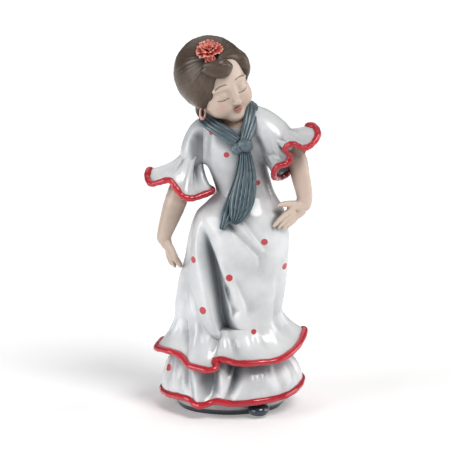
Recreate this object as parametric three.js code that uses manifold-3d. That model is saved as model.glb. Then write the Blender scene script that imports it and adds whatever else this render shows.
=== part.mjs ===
// Porcelain figurine of a girl dancer in a flounced dress, as the cast pieces it is luted together from.
// Millimetres, +Z up. The origin is the middle of the base's flat underside, and -Y is the front.
import * as THREE from "three";
import { mergeVertices } from "three/addons/utils/BufferGeometryUtils.js";
import Module from "manifold-3d";

const wasm = await Module();
wasm.setup();

// Driving dimensions.
const GAP = 0.3; // clearance left between flat parting faces
const LUTING_GAP = 0.46; // and between rounded pieces
const WAIST_Z = 127; // the parting plane between the skirt and the bodice
const BASE = { halfWidth: 32, halfDepth: 26.5, height: 7.7, foot: 1.5, footHeight: 1.2, edge: 1.6 };
const VENT = { radius: 4, y: 13 }; // the hole that lets the kiln gases out
const WALL = 4.5; // thickness of the slip-cast skirt
const NECK_WALL = 8; // and at its waist, round the way up into the bodice
const CHANNEL = { radius: 7.5, taper: 0.8, length: 34, rise: 15 }; // the drain channel up through the bodice
const SHELL = 1.8; // thickness of a flounce
const BEAD = 1.9; // radius of the rolled edge on the skirt's flounces
const SLEEVE_BEAD = 1.85; // and on the sleeves'
const CLEARANCE = 2; // how far a flounce's gathered top stands off the skirt
const LEAN = 0.18; // how far the shoulders slope, as height over width

// The dress's outline without its folds: height, middle x, middle y, half width, half depth.
const DRESS = [
  [7.9, 0, 0, 26, 22],
  [25, 0, 0, 27, 22.5],
  [33, 0, 0, 33, 27],
  [39, 0, 0, 29.5, 24],
  [47, 0, 0, 26, 20],
  [56, 0.3, 0, 31, 26],
  [62, 0.6, 0, 31.2, 26.2],
  [72, 2, 0, 31, 25.5],
  [88, 4, -0.5, 30.5, 24.5],
  [104, 5.5, -1, 29.2, 23],
  [116, 6.4, -1, 26, 20.5],
  [122, 7.8, -0.5, 21.5, 17.5],
  [128, 8.8, 0, 17.2, 14.4],
  [136, 6.6, 0.8, 16.8, 13.8],
  [146, 3.4, 0.3, 17.6, 14.8],
  [156, 0.8, 0, 18.6, 14.8],
  [164, -1, 1, 18.4, 12.8],
  [170, -0.6, 2, 14.6, 10.6],
  [174, 0, 2.4, 10, 8.4],
];

// Folds of the skirt. Each runs from one height and angle to another, in degrees from the front towards +X,
// with a depth (minus for a ridge) and the widths of its two flanks in degrees. A fold whose bend is over 1
// swings round early and then hangs straight.
const FOLDS = [
  { from: [113, -60], to: [36, -7], depth: 6.9, left: 6.5, right: 15, bend: 1.9 },
  { from: [114, -76], to: [38, -22], depth: -2.4, left: 9, right: 6.5, bend: 1.9 },
  { from: [92, -90], to: [44, -36], depth: 2.4, left: 9, right: 6 },
  { from: [86, -22], to: [58, 3], depth: 2.8, left: 3.5, right: 7 },
  { from: [80, 0], to: [60, 14], depth: 1.3, left: 8, right: 10 },
  { from: [121, -6], to: [92, 32], depth: 1.7, left: 5, right: 9 },
  { from: [118, 14], to: [98, 40], depth: 1.3, left: 5, right: 8 },
  { from: [92, 56], to: [38, 66], depth: 2.2, left: 9, right: 12 },
  { from: [78, 28], to: [38, 24], depth: 1.6, left: 10, right: 12 },
  { from: [116, 96], to: [38, 100], depth: 2.6, left: 9, right: 12 },
  { from: [112, 126], to: [38, 134], depth: 3.4, left: 12, right: 8 },
  { from: [118, 150], to: [38, 164], depth: 2.8, left: 8, right: 11 },
  { from: [114, 186], to: [38, 192], depth: 3.4, left: 11, right: 8 },
  { from: [118, 212], to: [38, 222], depth: 2.8, left: 8, right: 11 },
  { from: [112, 244], to: [38, 250], depth: 3.2, left: 11, right: 9 },
];

// The hems, as closed curves along the middle of the rolled edge, anticlockwise seen from above, from the
// leftmost point.
const UPPER_HEM = [
  [-43.2, 4, 34.6], [-43, -4, 35.2], [-37.6, -13, 36], [-31.5, -19, 35.6], [-26.8, -25, 34],
  [-24, -31.5, 32], [-17, -36, 31], [-12, -38, 30.8], [-8, -36.6, 32.2], [-8.4, -32.6, 35],
  [-3, -33.8, 35.6], [3, -36, 34.6], [10, -37.2, 34.6], [19, -36, 35], [27, -32.6, 35.2], [34, -26.5, 37],
  [39.4, -18, 39.8], [42.6, -9, 42.6], [44.2, 1, 45], [41.5, 10, 42.6], [38.5, 18, 39], [33, 27, 37],
  [24, 31, 37], [15, 37, 35], [5, 36, 36.5], [-5, 39, 35], [-14, 35, 36.5], [-24, 35, 34.5], [-31, 27, 36],
  [-38, 21, 34.5], [-40.5, 12, 36],
];
const LOWER_HEM = [
  [-40.4, 4, 8.8], [-39.4, -7, 9.3], [-35.5, -17, 10.2], [-29, -25.5, 11], [-23.5, -31, 10.8],
  [-19.4, -35.6, 8.8], [-14.6, -36.6, 9.6], [-9, -35.4, 11.2], [-2, -36.6, 10.6], [5, -37.6, 10.3],
  [16, -36, 11], [26, -31.5, 11.6], [34, -25, 12.4], [40, -14.5, 13.8], [43, -4, 15.2], [42.4, 5, 16],
  [39.5, 14, 14.8], [36, 22, 13.6], [27, 28, 12.4], [18, 34, 11], [7, 34, 12.5], [-3, 38, 10.5],
  [-13, 34.5, 12], [-23, 34, 10.5], [-31, 26, 11.5], [-37.5, 17, 9.5],
];
const RIGHT_SLEEVE_HEM = [
  [-47, 2, 141], [-48, -5, 137.5], [-45.6, -10, 135], [-41, -13, 136.4], [-35, -15, 138],
  [-31, -17, 133.7], [-27, -18, 129], [-22, -17, 127.6], [-15.8, -14, 129], [-10, -10, 130.6],
  [-11.4, 2, 130], [-13, 9, 129.5], [-18, 13.5, 130.5], [-25, 14, 134], [-32, 15, 134], [-38, 12, 139],
  [-44, 9, 138.5],
];
const LEFT_SLEEVE_HEM = [
  [45, -2, 167.5], [49, -7, 167.6], [50.4, -13, 164], [47, -17.5, 159.5], [42, -21, 158], [37, -23, 160.5],
  [33, -23, 160], [31.4, -21, 156.4], [34.2, -18.5, 152.8], [33, -19, 148.6], [27.5, -20, 147],
  [25, -17.5, 142.8], [25.6, -11, 138.5], [29, -3.5, 137], [34, 2, 139], [39, 4, 145.5],
  [43, 4, 152.5], [45.4, 2, 160.5],
];

// Paths that the sleeves, arms and neck follow, each point with its radius.
const RIGHT_SLEEVE = [
  [-8, 1, 167.5, 5.6], [-15.4, 1, 164, 6.8], [-20, 0.5, 156.6, 6.8], [-22, 0, 148.5, 6.8],
];
const LEFT_SLEEVE = [
  [7, 1.5, 169.5, 8], [14, 0.5, 168, 10], [20.5, -1.5, 163, 11.6], [26, -3.5, 157.5, 12],
];
const RIGHT_FOREARM = [
  [-22.8, -0.4, 146.6, 3], [-26.6, -0.9, 137.5, 5.2], [-31.5, -1.5, 123, 6.2], [-36, -2.3, 110, 4.8],
  [-38.9, -3, 102, 3.6],
];
const LEFT_FOREARM = [
  [31, -5, 155, 4.6], [38.5, -6.4, 149, 5.2], [41, -6.4, 138, 4.9], [43.2, -6.2, 128, 4.2],
  [43.6, -6.5, 121.5, 3.6],
];
const NECK = [[1.5, 3, 164, 7.4], [0.8, 3, 170, 6.6], [-1.4, 2.4, 176.5, 6.2], [-2.6, 1.4, 181, 6]];

// Fingers and palms as chains of bones: point and radius at each joint.
const RIGHT_HAND = {
  wrist: [[-38.9, -3, 102.4, 3.5], [-37.4, -3.4, 98.6, 3.2]],
  palm_front: [[-37.4, -4, 99.5, 2.9], [-34.8, -5, 93.4, 2.2]],
  palm_back: [[-37.6, -2.2, 99.5, 2.9], [-35.6, -1.2, 93.2, 2.1]],
  thumb: [[-36, -5.4, 99, 1.8], [-31.6, -7.2, 90.6, 1.25]],
  index: [[-34.4, -5, 93.6, 2], [-29, -5.2, 85.6, 1.35]],
  middle: [[-34.8, -3.8, 93.4, 2], [-29.9, -3.4, 84.8, 1.35]],
  ring: [[-35.4, -2.4, 93.2, 1.9], [-31.4, -1.6, 84.4, 1.3]],
  little: [[-36.4, -1, 93.6, 1.8], [-33.2, -0.4, 84.8, 1.2]],
};
const LEFT_HAND = {
  wrist: [[43.6, -6.5, 121.6, 3.5], [40.6, -8, 120.8, 3.6]],
  palm_upper: [[41.4, -8, 121.4, 3.3], [35, -11.8, 120.6, 2.5]],
  palm_lower: [[42, -7.6, 119, 3], [38.4, -9.6, 115.8, 2.2]],
  thumb: [[39.6, -9.6, 122.4, 2.1], [28.8, -15.6, 123.2, 1.35]],
  index: [[34, -12.4, 119.4, 2.1], [26, -17.8, 112.4, 1.4]],
  middle: [[35.4, -11.6, 118, 2.1], [28.6, -16.4, 111.4, 1.4]],
  ring: [[37, -10.6, 116.8, 2], [31.2, -14.6, 110.4, 1.35]],
  little: [[38.6, -9.6, 115.8, 1.9], [34, -12.6, 110.8, 1.2]],
};

// The head's own frame: its middle, and its turn to the left, nod and tilt in degrees.
const HEAD = { middle: [-8.8, -1, 194], turn: 28, nod: 17, tilt: -24 };
const SKULL = { middle: [0, 1.5, 3.5], radii: [18.6, 20.4, 20.2] };
const FACE = { middle: [0, -6.5, -8], radii: [14.2, 12.8, 15.6] };
const NOSE = { middle: [0, -19.6, -8.6], radii: [1.9, 2.6, 3] };
const HAIR = { middle: [0, 2.6, 3.8], radii: [21, 22.4, 22] };
const HAIRLINE = { middle: [1.5, -24, -7], radii: [14.6, 19, 21.5] };
const FRINGE = { middle: [-5.2, -18.6, 12.6], radii: [7.2, 3.6, 4.2], roll: -14 };
const BUN = { middle: [-12.5, 12.6, 175], radii: [8, 7.6, 7] };

// The neckerchief: middle of the band, the way its face looks, half width and half thickness.
const COLLAR = [
  [4.2, -17.4, 160.6, 0, -0.8, 0.6, 3.2, 1.7], [-3.5, -14.4, 165.6, -0.1, -0.75, 0.65, 4.4, 1.7],
  [-10.5, -9.8, 169.6, -0.3, -0.5, 0.8, 4.5, 1.7], [-14.2, -2.5, 172.2, -0.5, 0, 0.85, 4.2, 1.6],
  [-12.3, 6, 174.6, -0.4, 0.5, 0.75, 4, 1.5], [-4, 12, 177, -0.1, 0.75, 0.65, 4, 1.5],
  [5.5, 11, 179, 0.2, 0.65, 0.7, 4, 1.5], [11, 5, 180, 0.4, 0.3, 0.85, 4, 1.6],
  [12.4, -3, 178.4, 0.4, -0.4, 0.8, 4.2, 1.7], [11.6, -10.4, 171, 0.2, -0.75, 0.6, 4.2, 1.7],
  [9.4, -15.8, 163.4, 0, -0.85, 0.5, 3.4, 1.7],
];
const KNOT = { middle: [7.6, -18.6, 159.4], radii: [5, 3.6, 4.3] };
const KNOT_END = { middle: [2.6, -19, 157], radii: [3, 2.7, 2.6] };
const TAIL_FRONT = [
  [8.6, -18.8, 154.6, 3.2, 1.5], [9.4, -19.4, 148.3, 4, 1.5], [9.5, -19.4, 140, 5.8, 1.4],
  [8.3, -20, 131, 6.8, 1.4], [6.4, -21.8, 124.3, 6.8, 1.3], [4.2, -24.6, 118.2, 4.9, 1.2],
  [2.4, -26.4, 114.2, 1.4, 0.9],
];
const TAIL_BACK = [
  [6.4, -16.6, 153.4, 2.2, 1.1], [6.6, -16.2, 148, 2.6, 1], [5.6, -16, 139.3, 3.3, 1],
  [3.2, -16.6, 130.4, 3.9, 1], [0.8, -18.6, 124, 4, 1], [-1.8, -21.6, 118, 3.6, 1],
  [-4.6, -23.8, 111, 1.6, 0.9],
];

// The flower's petals fan round its middle, each rising out of the one plane, and face away from the hair.
const FLOWER = {
  middle: [-11.8, -16.2, 213],
  radius: 3,
  facing: [-0.15, -0.52, 0.84],
  petals: 6,
  reach: 4.6,
};
const PETAL = { radii: [3.7, 3, 1.2], rise: 0.75, lean: 0.65 };
const BUD = { middle: [-11.2, -20.6, 208.2], radii: [2.7, 2.1, 2.6] };
const EARRINGS = [
  { name: "earring_right", middle: [-15.7, -13.1, 176.8], turn: 50 },
  { name: "earring_left", middle: [9, 12.6, 185.6], turn: 20 },
];
const EARRING = { radius: 2.5, wire: 0.5, stretch: 1.35 };
const SHOE = { middle: [16.6, -29.2, 4.7], radii: [6.4, 7.2, 3.9] };

const COLOURS = {
  glaze: [0xf0f2f4, 0.12],
  edge: [0xc5303c, 0.15],
  skin: [0xdec3b2, 0.4],
  hair: [0x5a4a42, 0.2],
  scarf: [0x4f6470, 0.25],
  petal: [0xe0584e, 0.35],
  shoe: [0x3c4858, 0.15],
  biscuit: [0xe4ded4, 0.9],
};

// Small geometry helpers.
const vector = ([x, y, z]) => new THREE.Vector3(x, y, z);
const radians = THREE.MathUtils.degToRad;
const mix = (a, b, t) => a + (b - a) * t;
const smooth = (low, high, v) => THREE.MathUtils.smoothstep(v, low, high);

// A table's row at one place, on a smooth curve through its rows. The first column is the place.
function station(rows, place) {
  const last = rows.length - 2;
  let i = rows.findIndex((row, k) => k > last || place <= rows[k + 1][0]);
  i = Math.min(i, last);
  const [low, high] = [rows[i], rows[i + 1]];
  const before = rows[Math.max(i - 1, 0)];
  const after = rows[Math.min(i + 2, last + 1)];
  const span = high[0] - low[0];
  const t = THREE.MathUtils.clamp((place - low[0]) / span, 0, 1);
  return low.map((_, k) => {
    const leave = ((high[k] - before[k]) / (high[0] - before[0])) * span;
    const arrive = ((after[k] - low[k]) / (after[0] - low[0])) * span;
    const share = 2 * t ** 3 - 3 * t ** 2 + 1;
    const slopes = (t ** 3 - 2 * t ** 2 + t) * leave + (t ** 3 - t ** 2) * arrive;
    return share * low[k] + (1 - share) * high[k] + slopes;
  });
}

// A solid from geometry, turned the right way out.
const WELD = 1e-4; // corners nearer than this are one

function toSolid(geometry) {
  const bare = geometry.clone();
  bare.deleteAttribute("normal");
  bare.deleteAttribute("uv");
  const merged = mergeVertices(bare, WELD);
  const vertProperties = new Float32Array(merged.attributes.position.array);
  const triVerts = new Uint32Array(merged.index.array);
  const build = () => new wasm.Manifold(new wasm.Mesh({ numProp: 3, vertProperties, triVerts }));
  const made = build();
  if (made.volume() > 0) return made;
  for (let i = 0; i < triVerts.length; i += 3) {
    [triVerts[i], triVerts[i + 1]] = [triVerts[i + 1], triVerts[i]];
  }
  return build();
}

function toGeometry(solid) {
  const { vertProperties, triVerts } = solid.getMesh();
  const geometry = new THREE.BufferGeometry();
  geometry.setAttribute("position", new THREE.BufferAttribute(new Float32Array(vertProperties), 3));
  geometry.setIndex(new THREE.BufferAttribute(new Uint32Array(triVerts), 1));
  geometry.computeVertexNormals();
  return geometry;
}

// The solid with every vertex pushed out along its normal, as the cutter that leaves room for it.
function inflated(solid, by) {
  const geometry = toGeometry(solid);
  const { position, normal } = geometry.attributes;
  for (let i = 0; i < position.count; i++) {
    position.setXYZ(
      i,
      position.getX(i) + normal.getX(i) * by,
      position.getY(i) + normal.getY(i) * by,
      position.getZ(i) + normal.getZ(i) * by,
    );
  }
  return toSolid(geometry);
}

// The largest body left of a solid once its neighbours, with their clearance, are cut out of it.
function fitted(solid, ...neighbours) {
  const left = neighbours.reduce((rest, other) => rest.subtract(inflated(other, LUTING_GAP)), solid);
  return left.decompose().sort((a, b) => b.volume() - a.volume())[0];
}

const joined = (solids) => solids.reduce((all, one) => all.add(one));

// A closed surface through rings of points. Its ends are fanned shut, or its last ring meets its first.
function loft(rings, endless = false) {
  const around = rings[0].length;
  const points = rings.flat();
  const corners = [];
  const spans = endless ? rings.length : rings.length - 1;
  for (let r = 0; r < spans; r++) {
    for (let i = 0; i < around; i++) {
      const [a, b] = [r * around + i, r * around + ((i + 1) % around)];
      const over = (((r + 1) % rings.length) - r) * around;
      corners.push(a, b, b + over, a, b + over, a + over);
    }
  }
  if (!endless) {
    [0, rings.length - 1].forEach((r, end) => {
      const middle = rings[r].reduce((sum, point) => sum.add(point), new THREE.Vector3());
      points.push(middle.divideScalar(around));
      for (let i = 0; i < around; i++) {
        const pair = [r * around + i, r * around + ((i + 1) % around)];
        corners.push(points.length - 1, ...(end ? pair : pair.reverse()));
      }
    });
  }
  const geometry = new THREE.BufferGeometry().setFromPoints(points);
  geometry.setIndex(corners);
  return toSolid(geometry);
}

// A ring of points round a middle, in the plane of two directions.
function ring(middle, across, up, halfWidth, halfHeight, sides) {
  return Array.from({ length: sides }, (_, i) => {
    const angle = (2 * Math.PI * i) / sides;
    return middle.clone()
      .addScaledVector(across, halfWidth * Math.cos(angle))
      .addScaledVector(up, halfHeight * Math.sin(angle));
  });
}

// A round limb along points with radii. Both ends are flat.
function limb(stations, sides = 10, steps = 6) {
  const curve = new THREE.CatmullRomCurve3(stations.map(vector), false, "catmullrom", 0.5);
  const frames = curve.computeFrenetFrames(steps, false);
  const rows = stations.map((row, i) => [i / (stations.length - 1), row[3]]);
  const rings = [];
  for (let i = 0; i <= steps; i++) {
    const t = i / steps;
    const radius = station(rows, t)[1];
    const at = curve.getPoint(t);
    const tangent = curve.getTangent(t);
    const normal = frames.normals[i];
    const across = normal.clone().addScaledVector(tangent, -normal.dot(tangent)).normalize();
    rings.push(ring(at, across, tangent.clone().cross(across), radius, radius, sides));
  }
  return loft(rings);
}

// One bone of a finger or palm: a tapered bar with domed ends. OFF_AXIS is along no bone.
const DOME = { reach: 0.8, share: 0.6 };
const OFF_AXIS = [0.31, 0.85, 0.42];

function bone([start, end], sides = 5) {
  const [from, to] = [vector(start), vector(end)];
  const along = to.clone().sub(from).normalize();
  const across = vector(OFF_AXIS).cross(along).normalize();
  const up = along.clone().cross(across);
  const at = (point, shift, radius) => {
    return ring(point.clone().addScaledVector(along, shift), across, up, radius, radius, sides);
  };
  const [r0, r1] = [start[3], end[3]];
  return loft([
    at(from, -DOME.reach * r0, DOME.share * r0),
    at(from, 0, r0),
    at(to, 0, r1),
    at(to, DOME.reach * r1, DOME.share * r1),
  ]);
}

function hand(chains) {
  const bones = Object.values(chains).flatMap((chain) => chain.slice(1).map((end, i) => [chain[i], end]));
  return joined(bones.map((pair) => bone(pair)));
}

const ROWS_PER_SIDE = 0.6; // rows of faces on a ball, for each of its sides

function ellipsoid({ middle, radii, roll = 0 }, sides = 12) {
  const geometry = new THREE.SphereGeometry(1, sides, Math.round(sides * ROWS_PER_SIDE));
  geometry.scale(...radii);
  geometry.rotateY(radians(roll));
  geometry.translate(...middle);
  return toSolid(geometry);
}

// A flat band along stations of middle, half width and half thickness; its face looks the way `faces` says.
function band(stations, faces, sides = 8, steps = 9) {
  const curve = new THREE.CatmullRomCurve3(stations.map(vector), false, "catmullrom", 0.5);
  const sizes = stations.map((row, i) => [i / (stations.length - 1), ...row.slice(-2)]);
  const rings = [];
  for (let i = 0; i <= steps; i++) {
    const t = i / steps;
    const [, halfWidth, halfThickness] = station(sizes, t);
    const tangent = curve.getTangent(t);
    const across = tangent.clone().cross(faces(t)).normalize();
    const face = across.clone().cross(tangent);
    rings.push(ring(curve.getPoint(t), across, face, halfWidth, halfThickness, sides));
  }
  return loft(rings);
}

// The dress's surface, at an angle from the front and a height.
function foldDepth(theta, z) {
  const aboveFlounce = smooth(46, 56, z);
  return FOLDS.reduce((sum, { from, to, depth, left, right, bend = 1 }) => {
    const t = (from[0] - z) / (from[0] - to[0]);
    const fade = smooth(0, 0.3, t) * (1 - smooth(0.9, 1.3, t));
    const middle = mix(to[1], from[1], Math.max(1 - t, 0) ** bend);
    const away = THREE.MathUtils.euclideanModulo(theta - middle + 180, 360) - 180;
    return sum + depth * fade * Math.exp(-((away / (away < 0 ? left : right)) ** 2));
  }, 0) * aboveFlounce;
}

function dressPoint(theta, z, grow = 0) {
  const [, cx, cy, halfWidth, halfDepth] = station(DRESS, z);
  const out = grow - foldDepth(theta, z);
  const x = (halfWidth + out) * Math.sin(radians(theta));
  const y = -(halfDepth + out) * Math.cos(radians(theta));
  return new THREE.Vector3(cx + x, cy + y, z + LEAN * smooth(140, 164, z) * x);
}

function dressRing(z, sides, grow = 0) {
  return Array.from({ length: sides }, (_, i) => dressPoint((360 * i) / sides, z, grow));
}

const heights = (low, high, count) => Array.from({ length: count + 1 }, (_, i) => mix(low, high, i / count));

// The slip-cast skirt is hollow, open to the base below and to the bodice's drain channel above.
function skirt() {
  const outside = loft(heights(BASE.height + GAP, WAIST_Z, 12).map((z) => dressRing(z, 36)));
  const wallAt = (z) => mix(WALL, NECK_WALL, smooth(WAIST_Z - 19, WAIST_Z - 1, z));
  const rows = [BASE.height - 1, ...heights(BASE.height + 3, WAIST_Z + 1, 6)];
  const inside = loft(rows.map((z) => dressRing(z, 18, -wallAt(z))));
  return outside.subtract(inside);
}

function drainChannel() {
  const [, cx, cy] = station(DRESS, WAIST_Z);
  const { radius, taper, length, rise } = CHANNEL;
  const geometry = new THREE.CylinderGeometry(radius * taper, radius, length, 10);
  geometry.rotateX(Math.PI / 2).translate(cx - 1, cy, WAIST_Z + rise);
  return toSolid(geometry);
}

function bodice() {
  const rows = [WAIST_Z + GAP, 133, 141, 149, 156, 162, 167, 171];
  return loft(rows.map((z) => dressRing(z, 26))).subtract(drainChannel());
}

// A flounce hangs from a ring of points to a hem. Its surface leaves the ring along `fall` and flares to the
// hem, sooner the nearer `belly` is to 1. around and along run from 0 to 1.
function flounceSurface(ringPoint, hem, fall, belly) {
  const curve = new THREE.CatmullRomCurve3(hem.map(vector), true, "catmullrom", 0.5);
  return (around, along) => {
    const start = ringPoint(around);
    const end = curve.getPoint(around % 1);
    const reach = end.clone().sub(start);
    const drop = Math.max(reach.dot(fall), 3);
    const flare = reach.clone().addScaledVector(fall, -reach.dot(fall));
    const middle = start.clone().addScaledVector(fall, 0.6 * drop).addScaledVector(flare, belly);
    return start.multiplyScalar((1 - along) ** 2)
      .addScaledVector(middle, 2 * along * (1 - along))
      .addScaledVector(end, along ** 2);
  };
}

function outward(surface, around, along) {
  const step = 1e-3;
  const [before, after] = [Math.max(along - step, 0), Math.min(along + step, 1)];
  const down = surface(around, after).sub(surface(around, before));
  const across = surface((around + step) % 1, along).sub(surface((around + 1 - step) % 1, along));
  return across.cross(down).normalize();
}

// The flounce's shell stops short of the hem, where its rolled edge goes on.
const NEAR_HEM = 0.05;

function flounceShell(surface, bead, samples, rows = 3) {
  const place = (i, row, depth) => {
    const around = i / samples;
    const speed = surface(around, 1).distanceTo(surface(around, 1 - NEAR_HEM)) / NEAR_HEM;
    const along = (row / rows) * (1 - (bead + 2 * GAP) / speed);
    const point = surface(around, along);
    return point.addScaledVector(outward(surface, around, along), depth);
  };
  const side = (row, depth) => Array.from({ length: samples }, (_, i) => place(i, row, depth));
  const down = Array.from({ length: rows + 1 }, (_, row) => side(row, SHELL));
  const back = Array.from({ length: rows + 1 }, (_, row) => side(rows - row, 0));
  return loft([...down, ...back], true);
}

function rolledEdge(surface, bead, samples) {
  const sections = Array.from({ length: samples }, (_, i) => {
    const around = i / samples;
    const out = outward(surface, around, 1);
    const down = surface(around, 1).sub(surface(around, 1 - NEAR_HEM)).normalize();
    return ring(surface(around, 1).addScaledVector(out, SHELL / 2), out, down, bead, bead, 5);
  });
  return loft(sections, true);
}

const DOWN = new THREE.Vector3(0, 0, -1);
const UPPER_TOP_Z = 57;
const LOWER_TOP_Z = 33;

// The hems start at their leftmost point, so the rings that they hang from do too.
const HEM_START = -98; // degrees from the front
const skirtRing = (z) => (around) => dressPoint(HEM_START + 360 * around, z, CLEARANCE);
const upperFlounce = flounceSurface(skirtRing(UPPER_TOP_Z), UPPER_HEM, DOWN, 0.15);
const lowerFlounce = flounceSurface(skirtRing(LOWER_TOP_Z), LOWER_HEM, DOWN, 0.85);

// The ring at a sleeve's lower end, turned so that it starts opposite the hem's first point.
function sleeveRing(stations, hem) {
  const end = vector(stations.at(-1));
  const fall = end.clone().sub(vector(stations.at(-2))).normalize();
  const toHem = vector(hem[0]).sub(end);
  const first = toHem.addScaledVector(fall, -toHem.dot(fall)).normalize();
  const second = fall.clone().cross(first);
  const start = end.clone().addScaledVector(fall, GAP);
  const radius = stations.at(-1)[3] - SHELL;
  const turn = second.dot(vector(hem[3]).sub(end)) > 0 ? 1 : -1;
  const point = (around) => {
    const angle = 2 * Math.PI * around * turn;
    return start.clone()
      .addScaledVector(first, radius * Math.cos(angle))
      .addScaledVector(second, radius * Math.sin(angle));
  };
  return { point, fall };
}

function sleeveFlounce(stations, hem) {
  const { point, fall } = sleeveRing(stations, hem);
  return flounceSurface(point, hem, fall, 0.1);
}

const rightSleeveFlounce = sleeveFlounce(RIGHT_SLEEVE, RIGHT_SLEEVE_HEM);
const leftSleeveFlounce = sleeveFlounce(LEFT_SLEEVE, LEFT_SLEEVE_HEM);

// The base: a low oval slab on a stepped foot, with the vent through it.
function base() {
  const { halfWidth, halfDepth, height, foot, footHeight, edge } = BASE;
  const [across, back] = [new THREE.Vector3(1, 0, 0), new THREE.Vector3(0, 1, 0)];
  const at = (z, inset) => {
    return ring(new THREE.Vector3(0, 0, z), across, back, halfWidth - inset, halfDepth - inset, 36);
  };
  const slab = loft([
    at(0, foot),
    at(footHeight, foot),
    at(footHeight + 0.6, 0),
    at(height - edge, 0.2),
    at(height, edge),
  ]);
  const vent = new THREE.CylinderGeometry(VENT.radius, VENT.radius, 3 * height, 12);
  vent.rotateX(Math.PI / 2).translate(0, VENT.y, 0);
  return slab.subtract(toSolid(vent));
}

// Everything on the head is made in the head's own frame, with its face towards -Y, and then turned.
const headFrame = new THREE.Matrix4().makeTranslation(...HEAD.middle)
  .multiply(new THREE.Matrix4().makeRotationY(radians(HEAD.tilt)))
  .multiply(new THREE.Matrix4().makeRotationZ(radians(HEAD.turn)))
  .multiply(new THREE.Matrix4().makeRotationX(radians(HEAD.nod)));

function onHead(solid) {
  return toSolid(toGeometry(solid).applyMatrix4(headFrame));
}

const headSolid = onHead(joined([ellipsoid(SKULL, 18), ellipsoid(FACE, 16), ellipsoid(NOSE, 6)]));
const hairSolid = fitted(onHead(ellipsoid(HAIR, 20).subtract(ellipsoid(HAIRLINE, 16))), headSolid);

function petal(index) {
  const { middle, facing, petals, reach } = FLOWER;
  const out = vector(facing).normalize();
  const first = new THREE.Vector3(1, 0, 0).cross(out).normalize();
  const angle = (2 * Math.PI * index) / petals;
  const way = first.clone().applyAxisAngle(out, angle);
  const leaf = new THREE.SphereGeometry(1, 8, 5).scale(...PETAL.radii);
  const stand = out.clone().multiplyScalar(PETAL.rise).addScaledVector(way, -PETAL.lean).normalize();
  const across = stand.clone().cross(way).normalize();
  const frame = new THREE.Matrix4().makeBasis(across.clone().cross(stand), across, stand);
  frame.setPosition(vector(middle).addScaledVector(way, reach));
  return toSolid(leaf.applyMatrix4(frame));
}

function earring({ middle, turn }) {
  const geometry = new THREE.TorusGeometry(EARRING.radius, EARRING.wire, 4, 12);
  geometry.scale(1, EARRING.stretch, 1).rotateX(Math.PI / 2).rotateZ(radians(turn)).translate(...middle);
  return toSolid(geometry);
}

// The pieces, each cut back from those it is luted to.
const baseSolid = base();
const skirtSolid = skirt();
const bodiceSolid = fitted(bodice(), headSolid);
const rightSleeve = fitted(limb(RIGHT_SLEEVE), bodiceSolid, headSolid);
const leftSleeve = fitted(limb(LEFT_SLEEVE, 14), bodiceSolid, headSolid);
const dress = [skirtSolid, bodiceSolid, rightSleeve, leftSleeve];

const rightForearm = fitted(limb(RIGHT_FOREARM), rightSleeve);
const leftForearm = fitted(limb(LEFT_FOREARM), leftSleeve);
const rightHand = fitted(hand(RIGHT_HAND), rightForearm);
const leftHand = fitted(hand(LEFT_HAND), leftForearm, skirtSolid);

const edges = {
  lower: rolledEdge(lowerFlounce, BEAD, 40),
  upper: rolledEdge(upperFlounce, BEAD, 44),
  right: rolledEdge(rightSleeveFlounce, SLEEVE_BEAD, 26),
  left: rolledEdge(leftSleeveFlounce, SLEEVE_BEAD, 28),
};
const flounces = {
  lower: flounceShell(lowerFlounce, BEAD, 40),
  upper: fitted(flounceShell(upperFlounce, BEAD, 44), skirtSolid, edges.upper),
  right: fitted(flounceShell(rightSleeveFlounce, SLEEVE_BEAD, 26), rightSleeve),
  left: fitted(flounceShell(leftSleeveFlounce, SLEEVE_BEAD, 28), leftSleeve, bodiceSolid, edges.left),
};

const collarFaces = (t) => {
  const place = t * (COLLAR.length - 1);
  const low = Math.min(Math.floor(place), COLLAR.length - 2);
  const face = (i) => vector(COLLAR[i].slice(3, 6));
  return face(low).lerp(face(low + 1), place - low).normalize();
};
const front = () => new THREE.Vector3(0, -1, 0);
const neckSolid = fitted(limb(NECK), bodiceSolid, headSolid, hairSolid);
const collarSolid = fitted(band(COLLAR, collarFaces, 6, 18), ...dress, neckSolid, headSolid, hairSolid);
const knotSolid = fitted(joined([ellipsoid(KNOT, 10), ellipsoid(KNOT_END, 8)]), collarSolid, bodiceSolid);
const tailBack = fitted(band(TAIL_BACK, front), ...dress, knotSolid, collarSolid);
const tailFront = fitted(band(TAIL_FRONT, front), ...dress, knotSolid, collarSolid, tailBack);

const bunSolid = fitted(ellipsoid(BUN), hairSolid, headSolid, collarSolid, neckSolid, ...dress);
const fringeSolid = fitted(onHead(ellipsoid(FRINGE)), headSolid, hairSolid);
const flowerBall = { middle: FLOWER.middle, radii: Array(3).fill(FLOWER.radius) };
const flowerMiddle = fitted(ellipsoid(flowerBall, 8), hairSolid);
const budSolid = fitted(ellipsoid(BUD, 8), hairSolid, flowerMiddle);
const petals = [];
for (let i = 0; i < FLOWER.petals; i++) {
  petals.push(fitted(petal(i), hairSolid, flowerMiddle, budSolid, ...petals));
}

// The model.
const figurine = new THREE.Group();

function addPiece(name, solid, [colour, roughness]) {
  const material = new THREE.MeshStandardMaterial({ color: colour, roughness, metalness: 0 });
  const mesh = new THREE.Mesh(toGeometry(solid), material);
  mesh.name = name;
  figurine.add(mesh);
}

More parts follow.
